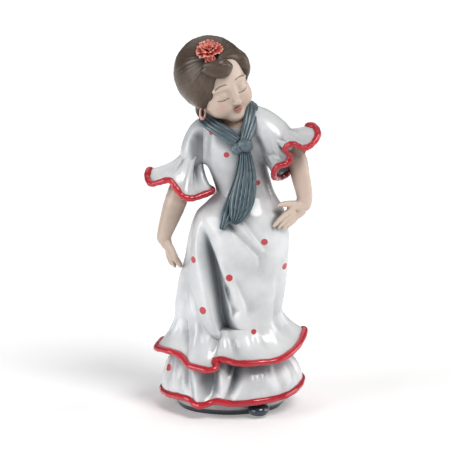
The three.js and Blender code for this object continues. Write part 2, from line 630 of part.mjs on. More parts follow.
addPiece("base", baseSolid, COLOURS.biscuit);
addPiece("skirt", skirtSolid, COLOURS.glaze);
addPiece("lower_flounce", flounces.lower, COLOURS.glaze);
addPiece("lower_flounce_edge", edges.lower, COLOURS.edge);
addPiece("upper_flounce", flounces.upper, COLOURS.glaze);
addPiece("upper_flounce_edge", edges.upper, COLOURS.edge);
addPiece("bodice", bodiceSolid, COLOURS.glaze);
addPiece("right_sleeve", rightSleeve, COLOURS.glaze);
addPiece("right_sleeve_flounce", flounces.right, COLOURS.glaze);
addPiece("right_sleeve_edge", edges.right, COLOURS.edge);
addPiece("left_sleeve", leftSleeve, COLOURS.glaze);
addPiece("left_sleeve_flounce", flounces.left, COLOURS.glaze);
addPiece("left_sleeve_edge", edges.left, COLOURS.edge);
addPiece("right_forearm", rightForearm, COLOURS.skin);
addPiece("right_hand", rightHand, COLOURS.skin);
addPiece("left_forearm", leftForearm, COLOURS.skin);
addPiece("left_hand", leftHand, COLOURS.skin);
addPiece("neck", neckSolid, COLOURS.skin);
addPiece("head", headSolid, COLOURS.skin);
addPiece("hair_cap", hairSolid, COLOURS.hair);
addPiece("hair_bun", bunSolid, COLOURS.hair);
addPiece("fringe_lock", fringeSolid, COLOURS.hair);
addPiece("flower_middle", flowerMiddle, COLOURS.petal);
petals.forEach((solid, i) => addPiece("flower_petal_" + (i + 1), solid, COLOURS.petal));
addPiece("flower_bud", budSolid, COLOURS.petal);
addPiece("scarf_collar", collarSolid, COLOURS.scarf);
addPiece("scarf_knot", knotSolid, COLOURS.scarf);
addPiece("scarf_tail_back", tailBack, COLOURS.scarf);
addPiece("scarf_tail_front", tailFront, COLOURS.scarf);
EARRINGS.forEach((one) => addPiece(one.name, earring(one), COLOURS.petal));
addPiece("shoe", fitted(ellipsoid(SHOE), baseSolid), COLOURS.shoe);

export default figurine;
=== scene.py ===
# A glazed porcelain figurine of a girl dancer in a flounced polka-dot dress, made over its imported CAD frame.
# Shapes are worked out in millimetres and scaled to metres when a mesh is made. +Z is up, -Y is the front.
import json
import math
import bpy
import numpy as np
from mathutils import Matrix, Vector


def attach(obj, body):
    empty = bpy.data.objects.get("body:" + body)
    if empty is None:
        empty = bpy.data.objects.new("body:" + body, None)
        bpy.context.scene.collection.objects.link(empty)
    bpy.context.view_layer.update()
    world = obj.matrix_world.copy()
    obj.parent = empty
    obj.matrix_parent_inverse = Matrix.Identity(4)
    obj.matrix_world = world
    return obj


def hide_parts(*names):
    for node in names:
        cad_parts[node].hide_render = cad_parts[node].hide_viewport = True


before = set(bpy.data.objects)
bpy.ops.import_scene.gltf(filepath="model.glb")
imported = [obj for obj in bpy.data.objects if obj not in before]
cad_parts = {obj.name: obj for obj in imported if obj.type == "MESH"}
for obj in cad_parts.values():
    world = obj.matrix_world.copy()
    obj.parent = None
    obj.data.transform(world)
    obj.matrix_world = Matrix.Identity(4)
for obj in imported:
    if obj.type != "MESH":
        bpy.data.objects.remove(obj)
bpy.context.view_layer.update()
MM = 0.001

# ----------------------------------------------------------------------------
# Driving dimensions and tables, in millimetres and degrees. Angles on the dress run from its front to +X.
WAIST_Z = 127
LEAN = 0.18  # how far the shoulders slope, as height over width
LEANING = (140, 164)  # the heights between which that slope comes in
SHOULDER_TOP = 171.5
BASE_TOP = 7.7
BASE = {"half_width": 31.8, "half_depth": 26.3, "edge": 2.2}
FOOT = {"half_width": 30.5, "half_depth": 25, "top": 3}  # it reaches a little way up inside the slab
SLAB_UNDERSIDE = 1.6
VENT = {"radius": 4, "y": 13, "top": 7}
LOWER_FLOUNCE_TOP = 36
SHELL = 1.6  # greatest thickness of a flounce
UPPER_LEDGE = 9  # how far the upper flounce's top reaches in to close the skirt's folds
BEAD = 1.95  # radius of the skirt's rolled hems
SLEEVE_BEAD = 1.85  # and of the sleeves'
PARTING_DEPTH = 0.5  # how far a surface sinks where it passes under its neighbour
PARTING_OVERLAP = 1.6  # and how far it reaches past the parting
SHARP_ANGLE = 50  # faces that meet at more degrees than this keep a sharp edge
INSIDE_SHADE_DEPTH = 2.5  # how deep the inside of a flounce counts, for its painted shade
FRONT_Y = -5  # dots further forward than this are seen from the front
DRESS_DOT_REACH = 4  # how far a dot may be from the dress's surface
NO_MARK = 99.0  # a distance from any painted mark that leaves a surface unpainted

# The dress without its folds: height, middle x, middle y, half width, half depth.
DRESS = [
    (6, 0, 0, 27, 23), (30, 0, 0, 29, 24.6), (48, 0.1, 0, 30.4, 25.6), (60, 0.3, 0, 31, 26),
    (72, 2, 0, 31, 25.5), (88, 4, -0.5, 30.5, 24.5), (104, 5.5, -1, 29.2, 23), (116, 6.4, -1, 26, 20.5),
    (122, 7.8, -0.5, 21.5, 17.5), (128, 8.8, 0, 17.2, 14.4), (136, 6.6, 0.8, 16.8, 13.8),
    (146, 3.4, 0.3, 17.6, 14.8), (156, 0.8, 0, 18.6, 14.8), (164, -1, 1, 18.4, 12.8),
    (170, -0.6, 2, 14.6, 10.6), (176, 0, 2.4, 8, 7),
]

# Folds: starting height and angle, ending height and angle, depth (minus for a ridge), widths of the two
# flanks, and bend: a fold whose bend is over 1 swings round early and then hangs straight.
FOLDS = [
    (116, -58, 34, 0, 8.4, 4, 13, 1.3), (116, -62, 34, -5, -3.2, 20, 3.5, 1.25),
    (112, -54, 66, 0, -1.7, 3, 7, 1.4), (80, -14, 62, 4, 3, 2.5, 6, 1), (84, -3, 64, 19, 1.8, 3, 8, 1),
    (76, -54, 48, -26, 1.5, 6, 4, 1), (72, -70, 44, -60, 1.8, 8, 9, 1), (92, -88, 30, -80, -1.8, 12, 10, 1),
    (119, -26, 94, 26, 2.2, 4, 9, 1), (122, -6, 97, 34, 1.7, 4, 8, 1), (94, 56, 34, 68, 2.2, 8, 12, 1),
    (78, 28, 34, 24, 1.2, 9, 12, 1), (116, 96, 34, 100, 2.8, 9, 12, 1), (112, 126, 34, 134, 3.6, 12, 8, 1),
    (118, 150, 34, 164, 3.0, 8, 11, 1), (114, 186, 34, 192, 3.6, 11, 8, 1),
    (118, 212, 34, 222, 3.0, 8, 11, 1), (112, 244, 34, 250, 3.4, 11, 9, 1),
]

# Folds of the two skirt flounces: angle at the top, angle at the hem, depth and the widths of the two flanks.
UPPER_FOLDS = [
    (-11, -18, 2.2, 5, 5), (-1, 10, 2.4, 4, 5), (-64, -46, 2, 6, 4), (36, 42, 1.3, 4, 7),
    (66, 72, 1.2, 7, 7), (104, 108, 1.8, 8, 8), (136, 140, 2, 8, 8), (170, 174, 2, 8, 8),
    (204, 208, 2, 8, 8), (238, 240, 1.8, 8, 8),
]
LOWER_FOLDS = [
    (-74, -66, 1.8, 7, 6), (-50, -34, 2.4, 6, 4), (-21, -17, 8, 8, 7), (13, -3, 5, 3.5, 7),
    (50, 46, 1.8, 8, 6), (70, 74, 1.6, 7, 8), (94, 98, 2, 8, 8), (128, 132, 2.2, 8, 8), (158, 162, 2, 8, 8),
    (188, 192, 2.4, 8, 8), (220, 224, 2, 8, 8), (250, 254, 2, 8, 8),
]

# The middles of the rolled hems: points round each edge, going by the front first.
UPPER_HEM = [
    (-43.2, 4, 34.6), (-43, -4, 35.2), (-37.6, -13, 36), (-31.5, -19, 35.6), (-26.8, -25, 34),
    (-24, -31.5, 32), (-17, -36, 31), (-12, -38, 30.8), (-8, -36.6, 32.2), (-8.4, -32.6, 35),
    (-3, -33.8, 35.6), (3, -36, 34.6), (10, -37.2, 34.6), (19, -36, 35), (27, -32.6, 35.2), (34, -26.5, 37),
    (39.4, -18, 39.8), (42.6, -9, 42.6), (44.2, 1, 45), (41.5, 10, 42.6), (38.5, 18, 39), (33, 27, 37),
    (24, 31, 37), (15, 37, 35), (5, 36, 36.5), (-5, 39, 35), (-14, 35, 36.5), (-24, 35, 34.5),
    (-31, 27, 36), (-38, 21, 34.5), (-40.5, 12, 36),
]
LOWER_HEM = [
    (-40.4, 4, 8.8), (-39.4, -7, 9.3), (-35.5, -17, 10.2), (-29, -25.5, 11), (-23.5, -31, 10.8),
    (-19.4, -35.6, 8.8), (-14.6, -36.6, 9.6), (-9, -35.4, 11.2), (-2, -36.6, 10.6), (5, -37.6, 10.3),
    (16, -36, 11), (26, -31.5, 11.6), (34, -25, 12.4), (40, -14.5, 13.8), (43, -4, 15.2), (42.4, 5, 16),
    (39.5, 14, 14.8), (36, 22, 13.6), (27, 28, 12.4), (18, 34, 11), (7, 34, 12.5), (-3, 38, 10.5),
    (-13, 34.5, 12), (-23, 34, 10.5), (-31, 26, 11.5), (-37.5, 17, 9.5),
]
RIGHT_SLEEVE_HEM = [
    (-47, 2, 141), (-48, -5, 137.5), (-45.6, -10, 135), (-41, -13, 136.4), (-35, -15, 138),
    (-31, -17, 133.7), (-27, -18, 129), (-22, -17, 127.6), (-15.8, -14, 129), (-10, -10, 130.6),
    (-11.4, 2, 130), (-13, 9, 129.5), (-18, 13.5, 130.5), (-25, 14, 134), (-32, 15, 134), (-38, 12, 139),
    (-44, 9, 138.5),
]
LEFT_SLEEVE_HEM = [
    (45, -2, 167.5), (49, -7, 167.6), (50.4, -13, 164), (47, -17.5, 159.5), (42, -21, 158), (37, -23, 160.5),
    (33, -23, 160), (31.4, -21, 156.4), (34.2, -18.5, 152.8), (33, -19, 148.6), (27.5, -20, 147),
    (25, -17.5, 142.8), (25.6, -11, 138.5), (29, -3.5, 137), (34, 2, 139), (39, 4, 145.5),
    (43, 4, 152.5), (45.4, 2, 160.5),
]

# Folds of the sleeve flounces: share of the way along the hem, depth, half width as a share.
RIGHT_GATHERS = [
    (0.2, 1.6, 0.03), (0.3, -0.8, 0.03), (0.47, 4.4, 0.045), (0.62, 1.4, 0.03), (0.8, 1.4, 0.03),
    (0.94, 1.2, 0.03),
]
LEFT_GATHERS = [
    (0.06, 1, 0.03), (0.28, 1.5, 0.03), (0.42, 1.8, 0.03), (0.56, 1.6, 0.03), (0.72, 1.3, 0.03),
    (0.88, 1.3, 0.03),
]

# Limbs and sleeves: points with radii.
RIGHT_SLEEVE = [(-8, 1, 167.5, 5.6), (-15.4, 1, 164, 6.8), (-20, 0.5, 156.6, 6.8), (-22, 0, 148.5, 6.8)]
LEFT_SLEEVE = [(7, 1.5, 169.5, 8), (14, 0.5, 168, 10), (20.5, -1.5, 163, 11.6), (26, -3.5, 157.5, 12)]
RIGHT_FOREARM = [
    (-22.8, -0.4, 146.6, 3), (-26.6, -0.9, 137.5, 5.2), (-31.5, -1.5, 123, 6.2), (-36, -2.3, 110, 4.9),
    (-39, -3, 101, 3.5),
]
LEFT_FOREARM = [
    (31, -5, 155, 4.6), (38.5, -6.4, 149, 5.2), (41, -6.4, 138, 5), (43.2, -6.2, 128, 4.3),
    (43.4, -6.6, 121.4, 3.5),
]
# Creases where an arm presses its sleeve: the cutting bar's start and end, and what is taken off its radii.
CREASES = [
    ((-16.2, -8.6, 162, 4.4), (-16.8, -9.8, 146, 4.2), 0),
    ((-21.4, -7.6, 159, 2), (-21, -8.2, 152, 1.5), 0.9),
    ((14.8, -13.6, 160.5, 2.2), (20.5, -14.6, 148, 1.6), 0.9),
    ((20.5, -15.6, 165.5, 2), (27, -17, 154, 1.5), 1.0),
]
NECK = [(1.5, 2, 163, 7.4), (1, 2, 170, 6.4), (-1.4, 1.6, 176.5, 6), (-4, 1, 183, 6.2)]
RIGHT_HAND = [
    [(-38.6, -3, 101.6, 3.5), (-36.8, -3.6, 97, 2.9)],
    [(-37.2, -2, 99, 2.8), (-35.4, -1.2, 93.5, 2.2)],
    [(-36.8, -4.4, 98.6, 2.6), (-34.8, -5, 93.5, 2.3)],
    [(-36.4, -5.6, 99, 1.8), (-34, -7, 95.4, 1.6), (-32.4, -7.4, 92.4, 1.3), (-31.2, -7, 90, 1.05)],
    [(-34.2, -5.2, 93.6, 2), (-31.8, -5.8, 89.6, 1.6), (-30, -5.6, 87, 1.35), (-28.8, -5, 85.2, 1.05)],
    [(-34.6, -3.8, 93.4, 2), (-32.1, -4.2, 88.8, 1.55), (-30.2, -4, 86.2, 1.25), (-28.9, -3.4, 84.3, 1)],
    [(-35.2, -2.2, 93.2, 1.9), (-34, -2.4, 88.6, 1.45), (-33.2, -2, 85.9, 1.2), (-32.4, -1.4, 83.8, 0.95)],
    [(-36.4, -0.8, 93.8, 1.7), (-35.8, -0.8, 89.4, 1.35), (-35, -0.6, 86.8, 1.15), (-34.2, -0.4, 84.8, 0.95)],
]
LEFT_HAND = [
    [(43.2, -6.6, 123, 3.5), (39.8, -8.4, 120.6, 3.6)],
    [(41.8, -7.6, 122, 3.2), (35.6, -11.4, 121, 2.6)],
    [(41.4, -8, 118, 2.8), (38, -9.8, 115.4, 2.2)],
    [(40.4, -9.2, 122.2, 2.2), (36, -12, 123, 2), (32, -14.4, 123.6, 1.55), (28.4, -16.2, 123.3, 1.15)],
    [(35.6, -11.8, 119.4, 2), (31.6, -14.4, 117, 1.65), (28.2, -16.8, 114.2, 1.4), (25.6, -18.6, 111.6, 1.1)],
    [(36.6, -11, 118, 2), (33.2, -13.4, 115, 1.65), (30.4, -15.4, 112.6, 1.4), (28.2, -17, 110.6, 1.1)],
    [(37.6, -10.2, 116.6, 1.9), (35, -12, 113.6, 1.6), (32.6, -13.8, 111.4, 1.35), (30.8, -15.2, 109.8, 1.1)],
    [(38.8, -9.4, 115.6, 1.7), (36.8, -10.8, 113, 1.45), (35, -12, 111.4, 1.2), (33.6, -13, 110.2, 1)],
]

# The head's own frame: its middle, and its turn to the left, nod and tilt in degrees.
HEAD = {"middle": (-8.8, -1, 194), "turn": 28, "nod": 17, "tilt": -24}

# The neckerchief: middle of the band, the way its face looks, half width and half thickness.
COLLAR = [
    (4.2, -17.4, 160.6, 0, -0.8, 0.6, 3.2, 1.7), (-3.5, -14.4, 165.6, -0.1, -0.75, 0.65, 4.4, 1.7),
    (-10.5, -9.8, 169.6, -0.3, -0.5, 0.8, 4.5, 1.7), (-14.2, -2.5, 172.2, -0.5, 0, 0.85, 4.2, 1.6),
    (-12.3, 6, 174.6, -0.4, 0.5, 0.75, 4, 1.5), (-4, 12, 177, -0.1, 0.75, 0.65, 4, 1.5),
    (5.5, 11, 179, 0.2, 0.65, 0.7, 4, 1.5), (11, 5, 180, 0.4, 0.3, 0.85, 4, 1.6),
    (12.4, -3, 178.4, 0.4, -0.4, 0.8, 4.2, 1.7), (11.6, -10.4, 171, 0.2, -0.75, 0.6, 4.2, 1.7),
    (9.4, -15.8, 163.4, 0, -0.85, 0.5, 3.4, 1.7), (7.8, -18.2, 160.4, 0, -0.9, 0.4, 2.6, 1.5),
]
TAIL_FRONT = [
    (8.4, -18.4, 157, 0, -1, 0.1, 2.6, 1.7), (9.4, -19.2, 150, 0, -1, 0.05, 3.9, 1.7),
    (9.6, -19.2, 141, 0, -1, 0, 5.6, 1.6), (8.3, -20, 131.5, 0, -1, 0, 6.7, 1.6),
    (6.4, -21.8, 124.5, 0, -1, 0.2, 6.8, 1.5), (4.2, -24.4, 118.6, 0, -1, 0.35, 4.9, 1.3),
    (2.4, -26, 114.2, 0, -1, 0.4, 1.5, 0.9),
]
TAIL_BACK = [
    (6.4, -16.6, 156, 0, -1, 0.1, 2.2, 1.3), (7, -16.4, 149, 0, -1, 0.05, 2.8, 1.2),
    (5.8, -16.4, 139.3, 0, -1, 0, 3.6, 1.2), (3.2, -17.2, 130.4, 0, -1, 0, 4, 1.2),
    (0.8, -19, 124, 0, -1, 0.2, 4, 1.2), (-1.8, -21.8, 118, 0, -1, 0.35, 3.6, 1.1),
    (-4.8, -23.8, 110.4, 0, -1, 0.4, 1.5, 0.8),
]

# Each row of petals: how many, reach, rise in degrees, half width, curl and ruffle.
FLOWER = {
    "middle": (-11.8, -16.2, 213),
    "facing": (-0.15, -0.52, 0.84),
    "rows": [
        (6, 7.8, 14, 4.2, 0.5, 0.45), (5, 6, 42, 3.6, 0.35, 0.5), (4, 4.8, 64, 2.8, 0.25, 0.45),
        (2, 3.6, 80, 1.9, 0.2, 0.35),
    ],
}
BUD = {
    "middle": (-11.2, -20.6, 208.2),
    "facing": (-0.1, -0.85, 0.5),
    "rows": [(5, 3.3, 28, 2, 0.3, 0.25), (4, 2.7, 58, 1.5, 0.25, 0.25), (2, 2.1, 78, 1, 0.2, 0.2)],
}
# Each hoop's middle, and its turn about the vertical in degrees.
EARRINGS = {"earring_right": ((-15.7, -13.1, 176.8), 50), "earring_left": ((9, 12.6, 185.6), 20)}
SHOE = {"middle": (16.6, -29.2, 4.7), "radii": (6.4, 7.2, 3.9)}


# ----------------------------------------------------------------------------
# Curves, surfaces and distance fields.
def sparse(number):
    return number


def smoothstep(low, high, value):
    t = np.clip((value - low) / (high - low), 0, 1)
    return t * t * (3 - 2 * t)


def unit(v):
    v = np.asarray(v, float)
    return v / (np.linalg.norm(v, axis=-1, keepdims=True) + 1e-12)


def station(rows, place):
    """A table's columns at each place, on a smooth curve through its rows; the first column is the place."""
    rows = np.array(rows, float)
    place = np.asarray(place, float)
    knots = rows[:, 0]
    slopes = np.empty_like(rows)
    slopes[1:-1] = (rows[2:] - rows[:-2]) / (knots[2:] - knots[:-2])[:, None]
    slopes[0] = (rows[1] - rows[0]) / (knots[1] - knots[0])
    slopes[-1] = (rows[-1] - rows[-2]) / (knots[-1] - knots[-2])
    i = np.clip(np.searchsorted(knots, place) - 1, 0, len(rows) - 2)
    span = (knots[i + 1] - knots[i])[..., None]
    t = np.clip((place - knots[i])[..., None] / span, 0, 1)
    rise = 2 * t**3 - 3 * t**2 + 1
    leave = (t**3 - 2 * t**2 + t) * slopes[i] * span
    arrive = (t**3 - t**2) * slopes[i + 1] * span
    return (rise * rows[i] + leave + (1 - rise) * rows[i + 1] + arrive)[..., 1:]


def curve(points, t, closed=False):
    """A Catmull-Rom curve through the points, at t from 0 to 1."""
    points = np.array(points, float)
    count = len(points) if closed else len(points) - 1
    place = np.asarray(t, float) * count
    i = np.floor(place).astype(int)
    if not closed:
        i = np.clip(i, 0, count - 1)
    f = (place - i)[..., None]

    def take(step):
        return points[(i + step) % count] if closed else points[np.clip(i + step, 0, count)]

    a, b, c, d = take(-1), take(0), take(1), take(2)
    return 0.5 * (2 * b + (c - a) * f + (2 * a - 5 * b + 4 * c - d) * f**2 + (3 * b - a - 3 * c + d) * f**3)


def union(a, b, k):
    h = np.clip(0.5 + 0.5 * (b - a) / k, 0, 1)
    return b + (a - b) * h - k * h * (1 - h)


def cut(a, b, k):
    """a without b, with the new edge rounded by k."""
    return -union(-a, b, k)


def ellipsoid(p, middle, radii, roll=0):
    q = p - np.array(middle, float)
    if roll:
        c, s = math.cos(math.radians(roll)), math.sin(math.radians(roll))
        q = np.stack([q[:, 0] * c - q[:, 2] * s, q[:, 1], q[:, 0] * s + q[:, 2] * c], -1)
    radii = np.array(radii, float)
    k0 = np.linalg.norm(q / radii, axis=1)
    k1 = np.linalg.norm(q / radii**2, axis=1) + 1e-9
    return k0 * (k0 - 1) / k1


def capsule(p, start, end):
    """A tapered bar with round ends; start and end are (x, y, z, radius)."""
    a, b = np.array(start[:3], float), np.array(end[:3], float)
    ab = b - a
    h = np.clip(((p - a) @ ab) / (ab @ ab), 0, 1)
    return np.linalg.norm(p - a - h[:, None] * ab, axis=1) - (start[3] + (end[3] - start[3]) * h)


def chain(p, points, k=1.0, steps=3):
    """A round limb through points with radii."""
    fine = curve(points, np.linspace(0, 1, steps * (len(points) - 1) + 1))
    field = capsule(p, fine[0], fine[1])
    for start, end in zip(fine[1:-1], fine[2:]):
        field = union(field, capsule(p, start, end), k)
    return field


def surface(field, low, high, step):
    """Points and quads of a field's zero level inside a box, by surface nets, then drawn onto the level."""
    axes = [np.arange(a - 1.5 * step, b + 2.5 * step, step) for a, b in zip(low, high)]
    grid = np.stack(np.meshgrid(*axes, indexing="ij"), -1)
    size = grid.shape[:3]
    values = field(grid.reshape(-1, 3)).reshape(size)
    inside = values < 0
    cells = tuple(n - 1 for n in size)
    total = np.zeros(cells + (3,))
    count = np.zeros(cells)
    crossings = []
    for axis in range(3):
        lo = [slice(None)] * 3
        hi = [slice(None)] * 3
        lo[axis], hi[axis] = slice(0, -1), slice(1, None)
        lo, hi = tuple(lo), tuple(hi)
        crossed = inside[lo] != inside[hi]
        t = np.where(crossed, values[lo] / np.where(crossed, values[lo] - values[hi], 1), 0)
        point = grid[lo] + t[..., None] * (grid[hi] - grid[lo])
        crossings.append((crossed, inside[lo]))
        others = [k for k in range(3) if k != axis]
        for da in (0, 1):
            for db in (0, 1):
                part = [slice(None)] * 3
                part[others[0]] = slice(da, da + cells[others[0]])
                part[others[1]] = slice(db, db + cells[others[1]])
                part = tuple(part)
                total += point[part] * crossed[part][..., None]
                count += crossed[part]
    index = np.full(cells, -1)
    used = count > 0
    index[used] = np.arange(used.sum())
    points = total[used] / count[used][:, None]
    quads = []
    for axis, (crossed, start_inside) in enumerate(crossings):
        b, c = (axis + 1) % 3, (axis + 2) % 3
        where = np.argwhere(crossed)
        keep = (where[:, b] > 0) & (where[:, b] < cells[b]) & (where[:, c] > 0) & (where[:, c] < cells[c])
        where = where[keep]
        corners = []
        for db, dc in ((-1, -1), (0, -1), (0, 0), (-1, 0)):
            cell = where.copy()
            cell[:, b] += db
            cell[:, c] += dc
            corners.append(index[tuple(cell.T)])
        quad = np.stack(corners, -1)
        flip = ~start_inside[tuple(where.T)]
        quad[flip] = quad[flip][:, ::-1]
        quads.append(quad)
    for _ in range(3):
        points = points - level_step(field, points, step)
    return points, np.concatenate(quads)


def gradient(field, points, reach=0.05):
    slopes = [(field(points + reach * e) - field(points - reach * e)) / (2 * reach) for e in np.eye(3)]
    return np.stack(slopes, -1)


def level_step(field, points, step):
    slope = gradient(field, points)
    move = field(points)[:, None] * slope / (np.sum(slope**2, axis=1, keepdims=True) + 1e-6)
    length = np.linalg.norm(move, axis=1, keepdims=True)
    return move * np.minimum(1, 0.7 * step / (length + 1e-9))


def grid_quads(rows, columns, wrap_rows):
    """Quads over a grid of points whose columns go round."""
    r, c = np.meshgrid(np.arange(rows if wrap_rows else rows - 1), np.arange(columns), indexing="ij")
    r, c = r.ravel(), c.ravel()
    r1, c1 = (r + 1) % rows, (c + 1) % columns
    return np.stack([r * columns + c, r * columns + c1, r1 * columns + c1, r1 * columns + c], -1)


def lofted(rings, endless=False):
    """A closed surface through rings of points, its ends fanned shut unless it is endless."""
    rows, columns = rings.shape[:2]
    points = rings.reshape(-1, 3)
    faces = grid_quads(rows, columns, endless).tolist()
    if not endless:
        for row, turn in ((0, -1), (rows - 1, 1)):
            first, middle = row * columns, len(points)
            points = np.vstack([points, rings[row].mean(0)])
            faces += [[middle, first + i, first + (i + 1) % columns][::turn] for i in range(columns)]
    return points, faces


# ----------------------------------------------------------------------------
# Pieces.
def piece(name, node, points, faces, material, attributes=None):
    """A smooth mesh in metres that rides on the figurine and stands for a CAD node, in its material's slot.

    Every mark that the material paints by is put far away where the piece hasn't got it.
    """
    points = np.asarray(points, float)
    faces = faces.tolist() if isinstance(faces, np.ndarray) else faces
    mesh = bpy.data.meshes.new(name)
    mesh.from_pydata((points * MM).tolist(), [], faces)
    mesh.update()
    if signed_volume(mesh) < 0:
        mesh.flip_normals()
    mesh.shade_smooth()
    mesh.set_sharp_from_angle(angle=math.radians(SHARP_ANGLE))
    unpainted = {label: np.full(len(points), NO_MARK) for label in json.loads(material["marks"])}
    for label, values in {**unpainted, **(attributes or {})}.items():
        layer = mesh.attributes.new(label, "FLOAT", "POINT")
        layer.data.foreach_set("value", np.asarray(values, np.float32).ravel())
    obj = bpy.data.objects.new(name, mesh)
    bpy.context.scene.collection.objects.link(obj)
    mesh.materials.append(material)
    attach(obj, "root")
    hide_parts(node)


def signed_volume(mesh):
    mesh.calc_loop_triangles()
    corners = np.empty(len(mesh.loop_triangles) * 3, int)
    mesh.loop_triangles.foreach_get("vertices", corners)
    points = np.empty(len(mesh.vertices) * 3)
    mesh.vertices.foreach_get("co", points)
    a, b, c = points.reshape(-1, 3)[corners.reshape(-1, 3)].transpose(1, 0, 2)
    return float(np.einsum("ij,ij->i", a, np.cross(b, c)).sum())


# ----------------------------------------------------------------------------
# Glazes. Colours are linear.
class Shader:
    """A material's node tree, with short names for the nodes that the glazes use."""

    def __init__(self, name):
        self.material = bpy.data.materials.new(name)
        self.material.use_nodes = True
        self.tree = self.material.node_tree
        self.surface = self.tree.nodes["Principled BSDF"]
        self.place = self.add("ShaderNodeTexCoord").outputs["Object"]

    def add(self, kind, **inputs):
        node = self.tree.nodes.new(kind)
        for key, value in inputs.items():
            self.feed(node.inputs[key.replace("_", " ")], value)
        return node

    def feed(self, socket, value):
        if isinstance(value, bpy.types.NodeSocket):
            self.tree.links.new(value, socket)
        else:
            socket.default_value = value

    def attribute(self, name):
        node = self.add("ShaderNodeAttribute")
        node.attribute_name = name
        return node.outputs["Fac"]

    def crevice(self, reach):
        """1 on open surfaces, towards 0 in crevices, as far as reach metres away."""
        node = self.add("ShaderNodeAmbientOcclusion", Distance=reach)
        node.samples = 5
        return node.outputs["AO"]

    def noise(self, scale, detail=3.0, vector=None, distortion=0.0):
        where = self.place if vector is None else vector
        node = self.add("ShaderNodeTexNoise", Vector=where, Scale=scale, Detail=detail, Distortion=distortion)
        return node.outputs["Fac"]

    def stretched(self, along, across, scale_along, scale_across):
        """A vector from two attributes, for streaks that run along a piece."""
        node = self.add("ShaderNodeCombineXYZ")
        self.feed(node.inputs["X"], self.math("MULTIPLY", self.attribute(along), scale_along))
        self.feed(node.inputs["Y"], self.math("MULTIPLY", self.attribute(across), scale_across))
        return node.outputs["Vector"]

    def math(self, operation, a, b=0.0):
        node = self.add("ShaderNodeMath")
        node.operation = operation
        self.feed(node.inputs[0], a)
        self.feed(node.inputs[1], b)
        return node.outputs[0]

    def ramp(self, value, low, high, start=0.0, end=1.0):
        node = self.add("ShaderNodeMapRange")
        node.interpolation_type = "SMOOTHSTEP"
        for label, number in (("From Min", low), ("From Max", high), ("To Min", start), ("To Max", end)):
            node.inputs[label].default_value = number
        self.feed(node.inputs["Value"], value)
        return node.outputs["Result"]

    def mix(self, factor, a, b):
        node = self.add("ShaderNodeMix")
        node.data_type = "RGBA"
        self.feed(node.inputs["Factor"], factor)
        for socket, value in ((node.inputs[6], a), (node.inputs[7], b)):
            self.feed(socket, value if isinstance(value, bpy.types.NodeSocket) else (*value, 1))
        return node.outputs[2]

    def bump(self, height, strength, distance):
        node = self.add("ShaderNodeBump", Height=height, Strength=strength, Distance=distance)
        return node.outputs["Normal"]


# How glaze varies, and the painted shade in hollows and crevices. Scales are per metre, and a share is how
# much of the deep colour shows.
CLOUDS = {"scale": 38, "share": 0.35}
HOLLOW_SHADE = {"depths": (0.6, 6.5), "share": 0.75}  # painted shade in hollows, coming in over these depths in millimetres
# Painted shade in crevices, from ambient occlusion within reach metres.
CREVICE_SHADE = {"reach": 0.012, "openness": (0.45, 0.9), "share": 0.75}
ORANGE_PEEL = {"scale": 260, "depth": 0.00012}
BRUSH_WOBBLE = {"scale": 420, "share": 0.12}  # how unsteady a painted mark's outline is
SHINE_PATCHES = {"scale": 90, "range": (0.8, 1.25)}
STREAK_DEPTH = 1.6  # how much more streaks stand out than orange peel


def glaze(slot, name, colour, deep, roughness, coat, peel=0.25, paints=(), streaks=None, coat_roughness=0.04):
    """Fired glaze: painted shade in hollows and crevices, faint clouds, orange peel, and painted marks under
    it.

    paints holds (attribute, colour, full, gone, strength): full strength where the attribute is under `full`.
    streaks holds (scale along, scale across, dark colour, strength).
    """
    s = Shader(name)
    s.material["slot"] = slot
    s.material["marks"] = json.dumps([paint[0] for paint in paints])
    clouds = s.ramp(s.noise(CLOUDS["scale"], 4), 0.35, 0.75, 0, CLOUDS["share"])
    tone = s.mix(clouds, colour, deep)
    # Painted shade: the deep colour comes in with a hollow's depth, and from ambient occlusion in crevices.
    tone = s.mix(s.ramp(s.attribute("shade_depth"), *HOLLOW_SHADE["depths"], 0, HOLLOW_SHADE["share"]), tone, deep)
    crevice = s.crevice(CREVICE_SHADE["reach"])
    tone = s.mix(s.ramp(crevice, *CREVICE_SHADE["openness"], CREVICE_SHADE["share"], 0), tone, deep)
    height = s.noise(ORANGE_PEEL["scale"], 2)
    if streaks:
        scale_along, scale_across, dark, strength = streaks
        lines = s.noise(1, 3, s.stretched("along", "across", scale_along, scale_across), 0.3)
        tone = s.mix(s.ramp(lines, 0.4, 0.68, 0, strength), tone, dark)
        height = s.math("ADD", height, s.math("MULTIPLY", lines, STREAK_DEPTH))
    for attribute, tint, full, gone, strength in paints:
        unsteady = s.math("MULTIPLY", s.noise(BRUSH_WOBBLE["scale"], 2), BRUSH_WOBBLE["share"])
        distance = s.math("ADD", s.attribute(attribute), unsteady)
        tone = s.mix(s.ramp(distance, full, gone, strength, 0), tone, tint)
    shiny, dull = [roughness * share for share in SHINE_PATCHES["range"]]
    s.feed(s.surface.inputs["Base Color"], tone)
    s.feed(s.surface.inputs["Roughness"], s.ramp(s.noise(SHINE_PATCHES["scale"], 3), 0.3, 0.7, shiny, dull))
    s.surface.inputs["Coat Weight"].default_value = coat
    s.surface.inputs["Coat Roughness"].default_value = coat_roughness
    s.surface.inputs["Coat IOR"].default_value = 1.5
    s.feed(s.surface.inputs["Normal"], s.bump(height, peel, ORANGE_PEEL["depth"]))
    return s.material


